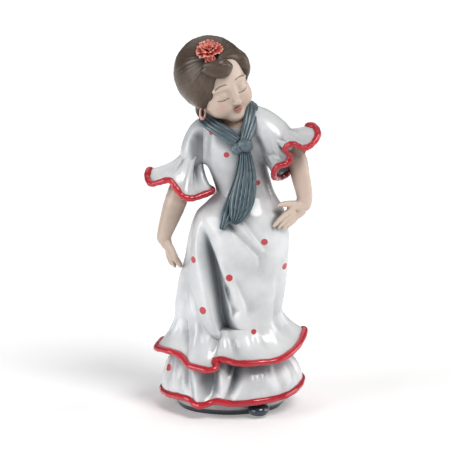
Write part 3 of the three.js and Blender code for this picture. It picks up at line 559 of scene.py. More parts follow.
# A deep colour is what a glaze's clouds and its painted shade in hollows and crevices go towards.
WHITE = (0.80, 0.812, 0.82)
WHITE_DEEP = (0.25, 0.27, 0.29)
RED = (0.60, 0.055, 0.075)
RED_DEEP = (0.28, 0.012, 0.03)
SKIN = (0.71, 0.60, 0.52)
SKIN_DEEP = (0.42, 0.31, 0.25)
HAIR_BROWN = (0.165, 0.121, 0.090)
HAIR_DARK = (0.036, 0.027, 0.026)
SCARF_BLUE = (0.215, 0.28, 0.31)
SCARF_DARK = (0.040, 0.066, 0.085)
CORAL = (0.93, 0.33, 0.27)
CORAL_DEEP = (0.52, 0.07, 0.06)

# Painted marks: attribute, colour, full under, gone over, strength.
DOT_PAINT = ("dot", RED, 1.0, 1.18, 0.93)
FACE_PAINTS = [
    ("blush", (0.58, 0.27, 0.21), 0.0, 5.2, 0.28),
    ("lip", (0.43, 0.165, 0.14), 0.05, 0.5, 0.7),
    ("brow", (0.16, 0.10, 0.075), 0.16, 0.55, 0.75),
    ("lash", (0.035, 0.022, 0.02), 0.14, 0.42, 0.9),
]
PETAL_RIM_PAINT = ("rim", (0.88, 0.46, 0.38), 0.15, 2.2, 0.85)
# Painted shadow: the base's lowest 3 to 4 mm are painted near-black as the contact shadow under it.
FOOT_SHADOW_PAINT = ("foot", (0.04, 0.045, 0.055), 2.8, 3.8, 0.92)

white_glaze = glaze(
    "glaze_white", "white_glaze", WHITE, WHITE_DEEP, 0.34, 0.55, 0.18, [DOT_PAINT], coat_roughness=0.1,
)
red_glaze = glaze("glaze_red", "red_glaze", RED, RED_DEEP, 0.26, 0.8, 0.3, coat_roughness=0.08)
skin_glaze = glaze("skin", "skin_glaze", SKIN, SKIN_DEEP, 0.42, 0.25, 0.12, FACE_PAINTS, coat_roughness=0.2)
hair_glaze = glaze(
    "hair", "hair_glaze", HAIR_BROWN, HAIR_DARK, 0.4, 0.3, 0.12, streaks=(0.35, 2.2, HAIR_DARK, 0.3),
    coat_roughness=0.22,
)
scarf_glaze = glaze(
    "scarf", "scarf_glaze", SCARF_BLUE, SCARF_DARK, 0.3, 0.7, 0.3, streaks=(0.25, 6.0, SCARF_DARK, 0.8),
)
petal_glaze = glaze("flower", "petal_glaze", CORAL, CORAL_DEEP, 0.38, 0.5, 0.3, [PETAL_RIM_PAINT])
earring_glaze = glaze("flower", "earring_glaze", (0.83, 0.55, 0.50), (0.6, 0.25, 0.22), 0.25, 1.0)
shoe_glaze = glaze("shoe", "shoe_glaze", (0.075, 0.105, 0.14), (0.012, 0.02, 0.035), 0.2, 1.0)
base_glaze = glaze(
    "base", "base_glaze", (0.72, 0.72, 0.70), (0.36, 0.40, 0.44), 0.25, 1.0, 0.3, [FOOT_SHADOW_PAINT],
)


# ----------------------------------------------------------------------------
# The dress.
def fold_depth(theta, z):
    """How deep the dress's surface is pressed in at an angle and height."""
    total = np.zeros(np.broadcast(theta, z).shape)
    for z0, angle0, z1, angle1, depth, left, right, bend in FOLDS:
        t = (z0 - z) / (z0 - z1)
        fade = smoothstep(0, 0.3, t) * (1 - smoothstep(0.95, 1.4, t))
        middle = angle1 + (angle0 - angle1) * np.maximum(1 - t, 0) ** bend
        away = np.mod(theta - middle + 180, 360) - 180
        total += depth * fade * np.exp(-((away / np.where(away < 0, left, right)) ** 2))
    return total


def dress(theta, z, grow=0):
    """Points of the dress's surface at angles from the front and heights, moved out by grow."""
    theta, z, grow = np.broadcast_arrays(*[np.asarray(values, float) for values in (theta, z, grow)])
    cx, cy, half_width, half_depth = np.moveaxis(station(DRESS, z), -1, 0)
    out = grow - fold_depth(theta, z)
    x = (half_width + out) * np.sin(np.radians(theta))
    y = -(half_depth + out) * np.cos(np.radians(theta))
    return np.stack([cx + x, cy + y, z + LEAN * smoothstep(*LEANING, z) * x], -1)


def body_field(p):
    """The cloth above the waist: the bodice, with the sleeves grown out of the shoulders."""
    x, y, z = p.T
    level = z
    for _ in range(2):
        cx, cy, half_width, half_depth = station(DRESS, level).T
        level = z - LEAN * smoothstep(*LEANING, level) * (x - cx)
    theta = np.degrees(np.arctan2(x - cx, -(y - cy)))
    out = -fold_depth(theta, level)
    far = np.hypot(x - cx, y - cy)
    ratio = np.maximum(np.hypot((x - cx) / (half_width + out), (y - cy) / (half_depth + out)), 1e-3)
    field = far * (1 - 1 / ratio)
    field = cut(field, SHOULDER_TOP - level, 4)
    field = union(field, chain(p, RIGHT_SLEEVE, 2), 5)
    field = union(field, chain(p, LEFT_SLEEVE, 2), 5.5)
    for start, end, depth in CREASES:
        field = cut(field, capsule(p, start, end) + depth, 3)
    return field


def parted(field, *sides):
    """A field kept where every side is negative, sunk a little past each parting so that no seam shows."""
    for side in sides:
        field = np.maximum(field + PARTING_DEPTH * smoothstep(0, 0.8, side), side - PARTING_OVERLAP)
    return field


def neckline(p):
    return ellipsoid(p, (3.4, -5, 177), (9.6, 12, 10.5))


def right_of_body(p):
    """Positive on the sleeve's side of the right shoulder."""
    return -15.6 - p[:, 0]


def left_of_body(p):
    """Positive on the sleeve's side of the left shoulder."""
    return 0.949 * (p[:, 0] - 12) + 0.316 * (p[:, 2] - 172)


def bodice_field(p):
    field = cut(body_field(p), neckline(p), 0.8)
    return parted(field, right_of_body(p), left_of_body(p), WAIST_Z - p[:, 2])


def gathers(turn, count):
    """Uneven gathers round a gathered edge, within 1."""
    wave = np.sin(2 * np.pi * count * turn + 1.3 * np.sin(6 * np.pi * turn))
    return 0.6 * wave + 0.4 * np.sin(2 * np.pi * (count + 14) * turn + 0.7)


def smooth_ring(angles, reach):
    """Angles along a closed curve, averaged over their neighbours; they advance one whole turn."""
    count = len(angles)
    turn = 2 * np.pi * np.sign(angles[-1] - angles[0])
    tiled = np.concatenate([angles - turn, angles, angles + turn])
    weight = np.exp(-np.linspace(-2, 2, 2 * reach + 1) ** 2)
    return np.convolve(tiled, weight / weight.sum(), mode="same")[count:2 * count]


def smooth_around(values, reach):
    """Values along a closed curve, averaged over their neighbours."""
    return np.mean([np.roll(values, shift) for shift in range(-reach, reach + 1)], axis=0)


def skirt_flounce(hem, top_z, flare, grow, folds, drape):
    """A skirt flounce's outer surface, from the dress down to its hem, and how deep its hollows are, which
    sets their painted shade.

    top_z and drape give, at each angle, the height where it starts and the share of the dress's folds that
    it follows.
    """
    samples, rows = sparse(520), sparse(60)
    edge = curve(hem, np.arange(samples) / samples, closed=True)
    angle = smooth_ring(np.unwrap(np.arctan2(edge[:, 0], -edge[:, 1])), samples // 16)
    theta = np.degrees(angle)[None]
    t = np.linspace(0, 1, rows)[:, None]
    top = top_z(theta)
    z = top + (edge[None, :, 2] - top) * t
    draped = fold_depth(theta, z)
    follow = drape(theta)
    grid = dress(theta, z, grow + (1 - follow) * draped)
    share = flare(t)[..., None]
    grid[..., :2] = grid[..., :2] * (1 - share) + edge[None, :, :2] * share
    push = gathers(theta / 360, 23) * 0.35 * np.sin(np.pi * np.clip(t * 1.2, 0, 1)) ** 2
    for top_angle, hem_angle, depth, left, right in folds:
        away = np.mod(theta - top_angle - (hem_angle - top_angle) * t + 180, 360) - 180
        flank = np.where(away < 0, left, right)
        push = push - depth * np.sin(np.pi * t) ** 0.8 * np.exp(-((away / flank) ** 2))
    grid[..., :2] += push[..., None] * unit(grid[..., :2])
    return grid, np.maximum(-push, 0) + follow * np.maximum(draped, 0) * (1 - share[..., 0])


def sleeve_flounce(stations, hem, folds):
    """A sleeve flounce's outer surface, from inside the sleeve's end to its hem, and its hollows' depths,
    which set their painted shade.

    Each fold is (share of the way along the hem, depth, half width as a share).
    """
    samples, rows = sparse(360), sparse(44)
    edge = curve(hem, np.arange(samples) / samples, closed=True)
    end, before = np.array(stations[-1][:3], float), np.array(stations[-2][:3], float)
    fall = unit(end - before)
    first = unit(np.cross(fall, (0.2, 1, 0.1)))
    second = np.cross(fall, first)
    reach = edge - end
    angle = smooth_ring(np.unwrap(np.arctan2(reach @ second, reach @ first)), samples // 20)
    ring = first * np.cos(angle)[:, None] + second * np.sin(angle)[:, None]
    start = end - 1.5 * fall + (stations[-1][3] - 0.35) * ring
    reach = edge - start
    drop = np.maximum(reach @ fall, 3)[:, None] * fall
    middle = start + 0.55 * drop + 0.15 * (reach - drop)
    t = np.linspace(0, 1, rows)[:, None, None]
    grid = (1 - t) ** 2 * start + 2 * t * (1 - t) * middle + t**2 * edge
    push = gathers(angle / (2 * np.pi), 11)[None] * 0.3 * np.sin(np.pi * t[..., 0]) ** 2
    turn = np.arange(samples) / samples
    for place, depth, width in folds:
        away = np.mod(turn - place + 0.5, 1) - 0.5
        push = push - depth * np.exp(-((away / width) ** 2)) * np.sin(np.pi * t[..., 0] ** 0.7)
    return grid + push[..., None] * ring, np.maximum(-push, 0)


def outward_normals(grid):
    across = np.roll(grid, -1, 1) - np.roll(grid, 1, 1)
    normals = unit(np.cross(np.gradient(grid, axis=0), across))
    away = grid - grid.mean(axis=1, keepdims=True)
    return normals if np.sum(normals * away) > 0 else -normals


def dot_distance(points, centres, reach=7):
    """Each point's distance from the nearest dot, as a share of the dot's radius.

    A dot is (x, y, z, radius) and sits where the surface comes nearest to its centre. At the front, distances
    in depth count less, so that a dot keeps its place and its roundness on a slanting fold.
    """
    nearest = np.full(len(points), NO_MARK)
    for *centre, radius in centres:
        find, paint = ((1, 0.25, 1), (1, 0.65, 1)) if centre[1] < FRONT_Y else ((1, 1, 1), (1, 1, 1))
        away = np.linalg.norm((points - np.array(centre)) * find, axis=1)
        spot = points[np.argmin(away)]
        if away.min() < reach:
            away = np.linalg.norm((points - spot) * paint, axis=1)
            nearest = np.minimum(nearest, away / radius)
    return nearest


def shell_thickness(hem):
    """A flounce is thinner where its hem bends tightly, so that its two faces never cross."""
    along = np.roll(hem, -1, 0) - np.roll(hem, 1, 0)
    turn = np.linalg.norm(np.roll(unit(along), -1, 0) - np.roll(unit(along), 1, 0), axis=1)
    radius = np.linalg.norm(along, axis=1) / np.maximum(turn, 1e-6)
    reach = len(hem) // 40
    tightest = np.min([np.roll(radius, shift) for shift in range(-reach, reach + 1)], axis=0)
    return np.minimum(SHELL, 0.3 * smooth_around(tightest, reach))


def flounce_piece(node, grid, shade_depth, dots, ledge):
    """A flounce's shell, ending inside its rolled hem. A ledge closes the folds that its top hangs over."""
    normals = outward_normals(grid)
    share = np.linspace(0, 1, len(grid))[:, None, None]
    inner = grid - normals * (shell_thickness(grid[-1])[:, None] * smoothstep(0, 0.35, share) + 0.05)
    inner[..., :2] -= ledge * (1 - smoothstep(0, 0.12, share)) * unit(grid[..., :2])
    points, faces = lofted(np.concatenate([grid, inner[::-1]]), endless=True)
    # Painted shade: the inside of a flounce is darkened as if it were a hollow.
    depths = np.concatenate([shade_depth, np.full(shade_depth.shape, INSIDE_SHADE_DEPTH)])
    painted = dot_distance(grid.reshape(-1, 3), dots)
    marks = {"shade_depth": depths, "dot": np.concatenate([painted, np.full(painted.shape, NO_MARK)])}
    piece(node + "_cloth", node, points, faces, white_glaze, marks)


def hem_piece(node, grid, bead):
    """The rolled red edge along a flounce's hem, a little uneven as rolled by hand."""
    normal = outward_normals(grid)[-1]
    count = grid.shape[1]
    centre = grid[-1] - normal * 0.35
    along = unit(np.roll(centre, -1, 0) - np.roll(centre, 1, 0))
    down = np.cross(normal, along)
    turn = np.arange(count) / count
    size = bead * (1 + 0.06 * np.sin(22 * np.pi * turn) + 0.04 * np.sin(58 * np.pi * turn + 1))
    angle = np.radians(np.arange(0, 360, 22.5))
    rings = (
        centre[:, None]
        + (size[:, None] * np.cos(angle) * 0.94)[..., None] * normal[:, None]
        + (size[:, None] * np.sin(angle) * 1.04)[..., None] * down[:, None]
    )
    points, faces = lofted(rings, endless=True)
    piece(node + "_roll", node, points, faces, red_glaze)


# The box that each solid piece is looked for in, and the size of its mesh's cells.
SOLIDS = {
    "bodice": ((-18, -18, 125), (28, 19, 178), 0.55),
    "right_sleeve": ((-30, -9, 140), (-13, 10, 174), 0.5),
    "left_sleeve": ((8, -17, 144), (40, 14, 182), 0.5),
    "right_forearm": ((-45, -9, 99), (-19, 6, 150), 0.5),
    "right_hand": ((-44, -10, 79), (-27, 4, 104), 0.32),
    "left_forearm": ((25, -12, 117), (49, 1, 161), 0.5),
    "left_hand": ((22, -22, 103), (49, -1, 127), 0.32),
    "neck": ((-13, -15, 160), (15, 10, 188), 0.5),
    "head": ((-19, -24, -25), (19, 22.5, 24.5), 0.42),
    "hair_cap": ((-22, -21, -20), (22, 26, 27), 0.45),
    "fringe_lock": ((-14, -24, 4), (8, -11, 19), 0.3),
    "hair_bun": ((-22, -2, 166), (-3, 22, 184), 0.4),
    "scarf_knot": ((-1, -24, 153), (14, -14, 165), 0.3),
    "base": ((-33, -28, 0), (33, 28, BASE_TOP), 0.5),
    "shoe": ((10, -37, 1), (25, -21, 9), 0.35),
}


def solid_piece(node, finish, field, material, marks=None, place=None):
    """A piece from a distance field; place moves its points into the model's frame afterwards."""
    low, high, step = SOLIDS[node]
    points, faces = surface(field, low, high, sparse(step))
    attributes = {key: mark(points) for key, mark in (marks or {}).items()}
    if place is not None:
        points = place(points)
    piece(node + "_" + finish, node, points, faces, material, attributes)


# Painted dots: the front's and the sleeves' by their places, the rest in rows by height and angle.
PLACED_DOTS = [
    (-11.2, -12, 164.6, 1.5), (-1.8, -14.6, 152.3, 1.6), (15.8, -10, 135.2, 1.4), (6.9, -13.4, 169.6, 1.3),
    (19.9, -19, 102, 1.9), (-20.9, -13, 91.1, 1.9), (-0.4, -24, 82, 1.9), (31.8, -8, 85.5, 1.9),
    (-15.6, -22, 62.8, 2.1), (-27, 3, 156, 1.5), (-22, 7, 151, 1.5), (34, 4, 166, 1.5), (22, 8, 166, 1.5),
]
BACK_DOTS = {
    114: (110, 170, 230), 98: (85, 138, 195, 250), 82: (110, 165, 222), 66: (84, 120, 155, 200, 248),
    158: (135, 205), 145: (95, 170, 265), 133: (130, 215),
}
BACK_DOT_RADIUS = 1.8
RIGHT_FLOUNCE_DOTS = [(-38, 7, 142, 1.5), (-24, 12, 139, 1.5)]
LEFT_FLOUNCE_DOTS = [(40, 1, 160, 1.5), (32, 1, 145, 1.5)]
UPPER_FLOUNCE_DOTS = [
    (13.9, -28, 49.4, 1.5), (-34, 9, 47, 1.9), (37, 9, 50, 1.9), (28, 22, 46, 1.9), (4, 32, 45, 1.9),
    (-22, 26, 47, 1.9),
]
LOWER_FLOUNCE_DOTS = [
    (-36.1, -8, 24.5, 2), (40, 6, 24, 1.9), (30, 22, 21, 1.9), (8, 34, 20, 1.9), (-14, 31, 22, 1.9),
    (-34, 20, 20, 1.9),
]
dress_dots = PLACED_DOTS + [
    (*dress(angle, z), BACK_DOT_RADIUS) for z, angles in BACK_DOTS.items() for angle in angles
]


def upper_top(theta):
    """The upper flounce is sewn on lower at the front than at her left side and the back."""
    dip = 4 * smoothstep(35, 60, -theta) * smoothstep(120, 80, -theta)
    return 51 + 8 * smoothstep(20, 70, np.abs(theta - 8)) - dip


def upper_drape(theta):
    """The upper flounce bridges the skirt's big front fold and follows the others."""
    return 1 - 0.9 * np.exp(-(((theta + 5) / 17) ** 4))


def constant(value):
    """The same value at every angle."""
    return lambda theta: value + 0 * theta


def make_skirt():
    rows, around = sparse(230), sparse(420)
    z = np.linspace(BASE_TOP + 0.2, WAIST_Z + 1.6, rows)[:, None]
    theta = np.linspace(-180, 180, around, endpoint=False)[None]
    grow = -3.2 * smoothstep(0, 6, upper_top(theta) - 1.5 - z) - 0.5 * smoothstep(WAIST_Z, WAIST_Z + 0.8, z)
    points, faces = lofted(dress(theta, z, grow))
    # Painted shade: the skirt darkens with the depth of its folds.
    shade_depth = np.concatenate([np.maximum(fold_depth(theta, z), 0).ravel(), [0, 0]])
    marks = {"shade_depth": shade_depth, "dot": dot_distance(points, dress_dots, DRESS_DOT_REACH)}
    piece("skirt_cloth", "skirt", points, faces, white_glaze, marks)


def right_sleeve_shade(p):
    """Painted shade on the right sleeve beside the bodice, given as a hollow's depth."""
    return 7.5 * np.exp(-(((p[:, 0] + 17.5) / 6) ** 2)) * smoothstep(168, 158, p[:, 2]) * (p[:, 1] < 2)


def make_cloth():
    dots = {"dot": lambda p: dot_distance(p, dress_dots, DRESS_DOT_REACH)}
    # The right sleeve gets painted shade beside the bodice.
    shaded = {**dots, "shade_depth": right_sleeve_shade}
    solid_piece("bodice", "cloth", bodice_field, white_glaze, dots)
    for node, beyond, marks in (("right_sleeve", right_of_body, shaded), ("left_sleeve", left_of_body, dots)):
        solid_piece(node, "cloth", lambda p: parted(body_field(p), -beyond(p)), white_glaze, marks)


def make_flounces():
    upper = skirt_flounce(UPPER_HEM, upper_top, lambda t: t**1.6, 0.02, UPPER_FOLDS, upper_drape)
    lower = skirt_flounce(
        LOWER_HEM, constant(LOWER_FLOUNCE_TOP), lambda t: 1 - (1 - t) ** 2.5, 1.5, LOWER_FOLDS, constant(1),
    )
    right = sleeve_flounce(RIGHT_SLEEVE, RIGHT_SLEEVE_HEM, RIGHT_GATHERS)
    left = sleeve_flounce(LEFT_SLEEVE, LEFT_SLEEVE_HEM, LEFT_GATHERS)
    flounces = [
        ("upper_flounce", "upper_flounce_edge", upper, BEAD, UPPER_FLOUNCE_DOTS, UPPER_LEDGE),
        ("lower_flounce", "lower_flounce_edge", lower, BEAD, LOWER_FLOUNCE_DOTS, 0),
        ("right_sleeve_flounce", "right_sleeve_edge", right, SLEEVE_BEAD, RIGHT_FLOUNCE_DOTS, 0),
        ("left_sleeve_flounce", "left_sleeve_edge", left, SLEEVE_BEAD, LEFT_FLOUNCE_DOTS, 0),
    ]
    for node, edge_node, (grid, shade_depth), bead, dots, ledge in flounces:
        flounce_piece(node, grid, shade_depth, dots, ledge)
        hem_piece(edge_node, grid, bead)


# ----------------------------------------------------------------------------
# Arms, hands and neck.
def arm_field(p, forearm, hand):
    """A forearm and its hand, whose fingers stay apart and grow out of the palm."""
    field = chain(p, forearm, 1.5)
    fingers = chain(p, hand[0], 1)
    for bones in hand[1:]:
        fingers = union(fingers, chain(p, bones, 0.6, 2), 0.3)
    return union(field, fingers, 1.2)


def right_hand_side(p):
    """Positive beyond the wrist."""
    return 101.2 - p[:, 2]


def left_hand_side(p):
    """Positive beyond the wrist."""
    return (p - np.array([43.2, -6.8, 121.4])) @ np.array([-0.6, -0.2, -0.77])


def make_arms():
    sides = [
        ("right", RIGHT_FOREARM, RIGHT_HAND, right_hand_side),
        ("left", LEFT_FOREARM, LEFT_HAND, left_hand_side),
    ]
    for side, forearm, hand, beyond in sides:
        def whole(p, forearm=forearm, hand=hand):
            return arm_field(p, forearm, hand)

        solid_piece(side + "_forearm", "skin", lambda p: parted(whole(p), beyond(p)), skin_glaze)
        solid_piece(side + "_hand", "skin", lambda p: parted(whole(p), -beyond(p)), skin_glaze)


def neck_field(p):
    chest = np.maximum(body_field(p) + 0.7, neckline(p) - 1.4)
    return union(chain(p, NECK, 2), chest, 2.5)


def make_neck():
    solid_piece("neck", "skin", neck_field, skin_glaze)


# ----------------------------------------------------------------------------
# The head, made upright in its own frame with its face towards -Y.
head_matrix = (
    Matrix.Translation(HEAD["middle"])
    @ Matrix.Rotation(math.radians(HEAD["tilt"]), 4, "Y")
    @ Matrix.Rotation(math.radians(HEAD["turn"]), 4, "Z")
    @ Matrix.Rotation(math.radians(HEAD["nod"]), 4, "X")
)
HEAD_MATRIX = np.array(head_matrix)
FACE_Y = -12  # the lids are further forward than this
BROW_Y = -10  # and the brows further forward than this


def from_head(points):
    return points @ HEAD_MATRIX[:3, :3].T + HEAD_MATRIX[:3, 3]


def both_sides(p, middle, radii):
    """A pair of ellipsoids, one on each side of the face."""
    mirrored = np.stack([np.abs(p[:, 0]), p[:, 1], p[:, 2]], -1)
    return ellipsoid(mirrored, middle, radii)


def head_field(p):
    skull = ellipsoid(p, (0, 1.5, 3.5), (18.6, 20.4, 20.2))
    jaw = ellipsoid(p, (0, -5.5, -7.5), (14.2, 13, 15.6))
    cheeks = both_sides(p, (7.4, -12.4, -10.6), (6, 5.6, 6.2))
    chin = ellipsoid(p, (0, -14.2, -19.6), (4.6, 4.2, 3.6))
    sockets = both_sides(p, (6.8, -20.8, -2.4), (4.4, 2.8, 2.8))
    lids = both_sides(p, (6.6, -15.4, -3.6), (3.8, 3.2, 3.1))
    brows = both_sides(p, (6.8, -16.6, 1.2), (4.8, 1.5, 1.1))
    nose_ridge = capsule(p, (0, -18, -1.6, 1.4), (0, -20.8, -8.9, 1.7))
    nose_tip = ellipsoid(p, (0, -21, -9.1), (1.9, 1.8, 1.6))
    nose_wings = both_sides(p, (1.7, -19.5, -9.7), (1.1, 1.3, 1))
    nostrils = both_sides(p, (0.85, -20.2, -10.9), (0.45, 0.8, 0.35))
    upper_lip = both_sides(p, (1.2, -18.6, -13.8), (1.9, 1.2, 0.85))
    lower_lip = ellipsoid(p, (0, -18.4, -15.5), (2.3, 1.25, 0.95))
    mouth = ellipsoid(p, (0, -20.1, -14.65), (3.3, 1.2, 0.2))
    field = union(union(union(skull, jaw, 4), cheeks, 5), chin, 5)
    field = cut(field, sockets, 3)
    field = union(union(field, lids, 0.9), brows, 3)
    field = union(union(field, nose_ridge, 2.4), nose_tip, 1.2)
    field = cut(union(field, nose_wings, 0.9), nostrils, 0.4)
    field = union(union(field, upper_lip, 0.6), lower_lip, 0.6)
    field = cut(field, mouth, 0.35)
    lid_edge = 0.25 * np.exp(-((lash_line(p) / 0.35) ** 2)) * (p[:, 1] < FACE_Y)
    return field + lid_edge


def lash_line(p):
    """Distance from the closed lids' edges, where the lashes are painted."""
    x = np.abs(p[:, 0])
    edge = -5.4 - 0.55 * (1 - ((x - 6.7) / 3.3) ** 2) + 0.04 * (x - 6.7)
    beyond = np.maximum(np.abs(x - 6.7) - 3.2, 0)
    return np.hypot(p[:, 2] - edge, beyond)


def lash_paint(p):
    return np.where(p[:, 1] < FACE_Y, lash_line(p), NO_MARK)


def brow_paint(p):
    x = np.abs(p[:, 0])
    arch = 2.3 + 0.9 * (1 - ((x - 6.4) / 4) ** 2) - 0.08 * (x - 6.4)
    beyond = np.maximum(np.abs(x - 6.6) - 3.4, 0)
    return np.where(p[:, 1] < BROW_Y, np.hypot(p[:, 2] - arch, beyond), NO_MARK)


def lip_paint(p):
    upper_lip = both_sides(p, (1.2, -18.8, -13.9), (1.9, 1.6, 0.75))
    lower_lip = ellipsoid(p, (0, -18.6, -15.4), (2.1, 1.6, 0.85))
    return np.maximum(np.minimum(upper_lip, lower_lip), 0)


def blush_paint(p):
    away = np.stack([np.abs(p[:, 0]) - 8.6, (p[:, 1] + 15.5) * 0.5, p[:, 2] + 9.6], -1)
    return np.linalg.norm(away, axis=1)


def make_head():
    marks = {"lash": lash_paint, "brow": brow_paint, "lip": lip_paint, "blush": blush_paint}
    solid_piece("head", "skin", head_field, skin_glaze, marks, from_head)


# Hair is combed from a side parting at the front round to the nape.
PARTING = np.array([-3.0, -15.0, 19.0])
NAPE = np.array([0.0, 16.0, -14.0])


def strand_angle(p):
    """Each point's angle about the line from the parting to the nape, and how far along that line it is."""
    axis = unit(NAPE - PARTING)
    side = unit(np.cross(axis, (1, 0, 0)))
    other = np.cross(axis, side)
    q = p - PARTING
    return np.arctan2(q @ other, q @ side), q @ axis


def strands(p):
    angle, along = strand_angle(p)
    wave = np.sin(46 * angle + 2.2 * np.sin(along * 0.12) + 1.5 * np.sin(7 * angle))
    return 0.05 * wave + 0.08 * np.sin(15 * angle + 0.1 * along)


def hair_field(p):
    field = ellipsoid(p, (0, 2.6, 3.8), (21, 22.4, 22))
    field = union(field, ellipsoid(p, (-15.6, -5.4, 0.6), (4, 7, 11)), 2)
    field = union(field, ellipsoid(p, (14.6, -8.4, 6), (4.8, 7, 8)), 3)
    opening = ellipsoid(p, (1.5, -24, -8), (15.4, 18, 21.5))
    opening = union(opening, ellipsoid(p, (4, -19.5, 9), (8.5, 6.5, 7.4)), 3)
    opening = union(opening, ellipsoid(p, (0, -14, -22), (20, 22, 14)), 4)
    field = cut(field, opening, 2.5)
    parting = capsule(p, (2, -17, 19.2, 0.5), (-2, -4, 26.6, 0.3))
    field = cut(field, parting, 1.6)
    return field + strands(p)


FORELOCK = [
    [(-9.5, -13.4, 17.2, 1.8), (-5, -17.2, 16, 3), (-1.2, -18.8, 14.2, 3.2), (1.8, -18.8, 12, 2)],
    [(-11.2, -13, 14.6, 1.6), (-7, -16.8, 12.4, 2.8), (-3.2, -19.2, 11, 2.9), (0.4, -19.4, 10.4, 1.5)],
]


def curl_field(p):
    """The lock that sweeps over the forehead from the parting: two strands rolled under at their ends."""
    upper, lower = [chain(p, strand, 1.5) for strand in FORELOCK]
    field = union(upper, lower, 0.9)
    q = p - np.array([-4, -18, 13])
    return field + 0.06 * np.sin(4.6 * q[:, 2] + 0.84 * q[:, 0] + 0.9 * q[:, 1])


def bun_field(p):
    field = ellipsoid(p, (-12.5, 12.6, 175), (8, 7.6, 7))
    field = union(field, ellipsoid(p, (-13, 4.5, 179), (5.6, 6.5, 6.6)), 3)
    q = p - np.array([-12.5, 12.6, 175])
    turn = np.arctan2(q[:, 2], q[:, 0])
    coil = np.hypot(q[:, 0], q[:, 2])
    return field + 0.28 * np.sin(2.6 * coil - 2 * turn) * smoothstep(0.4, 2, coil)


def make_hair():
    marks = {
        "along": lambda p: strand_angle(p)[1],
        "across": lambda p: strand_angle(p)[0] * 14,
    }
    flat = {"along": lambda p: p[:, 0], "across": lambda p: p[:, 2] * 2.2}
    solid_piece("hair_cap", "strands", hair_field, hair_glaze, marks, from_head)
    solid_piece("fringe_lock", "strands", curl_field, hair_glaze, flat, from_head)
    solid_piece("hair_bun", "coil", bun_field, hair_glaze, flat)


# ----------------------------------------------------------------------------
# The flowers: rows of thin ruffled petals, each a closed sheet.
def petal_mesh(middle, out, way, reach, rise, width, curl, ruffle, phase):
    """A petal from the flower's middle, which rises from its plane by an angle and curls back at its rim."""
    across = np.cross(out, way)
    v = np.linspace(0, 1, sparse(14))[:, None]
    u = np.linspace(-1, 1, sparse(23))[None]
    lift = np.radians(rise) * (1 - curl * v**2)
    forward = reach * np.cumsum(np.cos(lift), axis=0) / len(v)
    upward = reach * np.cumsum(np.sin(lift), axis=0) / len(v)
    rim = 1 - 0.22 * u**2 + 0.05 * np.cos(5 * np.pi * u + phase)
    frill = ruffle * v**2 * np.sin(3.2 * np.pi * u + phase)
    cup = 0.28 * width * u**2 * np.sin(np.pi * v * 0.8)
    spread = width * u * np.sin(np.clip(v * 1.25 + 0.12, 0, 1) * np.pi / 2) ** 0.8
    top = (
        np.array(middle)
        + (forward * rim)[..., None] * way
        + (upward * rim + frill + cup)[..., None] * out
        + (spread + 0 * v)[..., None] * across
    )
    normals = unit(np.cross(np.gradient(top, axis=0), np.gradient(top, axis=1)))
    thickness = (0.42 - 0.2 * v)[..., None]
    rings = np.concatenate([top + normals * thickness / 2, (top - normals * thickness / 2)[:, ::-1]], axis=1)
    points, faces = lofted(rings)
    from_rim = np.broadcast_to((1 - v) * reach, top.shape[:2])
    rim_mark = np.concatenate([np.concatenate([from_rim, from_rim], axis=1).ravel(), [reach, 0]])
    return points, faces, rim_mark


def bloom(middle, facing, rows):
    """The petals of a flower, row by row from the outside."""
    out = unit(facing)
    first = unit(np.cross(out, (0.0, 0.0, 1.0)))
    second = np.cross(out, first)
    petals = []
    for row, (count, reach, rise, width, curl, ruffle) in enumerate(rows):
        for i in range(count):
            angle = 2 * math.pi * (i + 0.37 * row) / count + 0.22 * math.sin(5 * i + row)
            way = first * math.cos(angle) + second * math.sin(angle)
            size = reach * (1 + 0.08 * math.sin(3 * i + 2 * row))
            lift = rise + 6 * math.sin(4 * i + row)
            petals.append(petal_mesh(middle, out, way, size, lift, width, curl, ruffle, i + row))
    return petals


def join_meshes(parts):
    points, faces, marks = [], [], []
    start = 0
    for part_points, part_faces, part_marks in parts:
        points.append(part_points)
        faces += [[corner + start for corner in face] for face in part_faces]
        marks.append(part_marks)
        start += len(part_points)
    return np.vstack(points), faces, np.concatenate(marks)


def make_flowers():
    middle = np.array(FLOWER["middle"]) - 0.6 * unit(FLOWER["facing"])
    petals = bloom(middle, FLOWER["facing"], FLOWER["rows"])
    outer = FLOWER["rows"][0][0]
    for i, (points, faces, marks) in enumerate(petals[:outer]):
        name = "flower_petal_" + str(i + 1)
        piece(name + "_ruffled", name, points, faces, petal_glaze, {"rim": marks})
    points, faces, marks = join_meshes(petals[outer:])
    piece("flower_heart", "flower_middle", points, faces, petal_glaze, {"rim": marks})
    points, faces, marks = join_meshes(bloom(BUD["middle"], BUD["facing"], BUD["rows"]))
    piece("flower_bud_ruffled", "flower_bud", points, faces, petal_glaze, {"rim": marks})


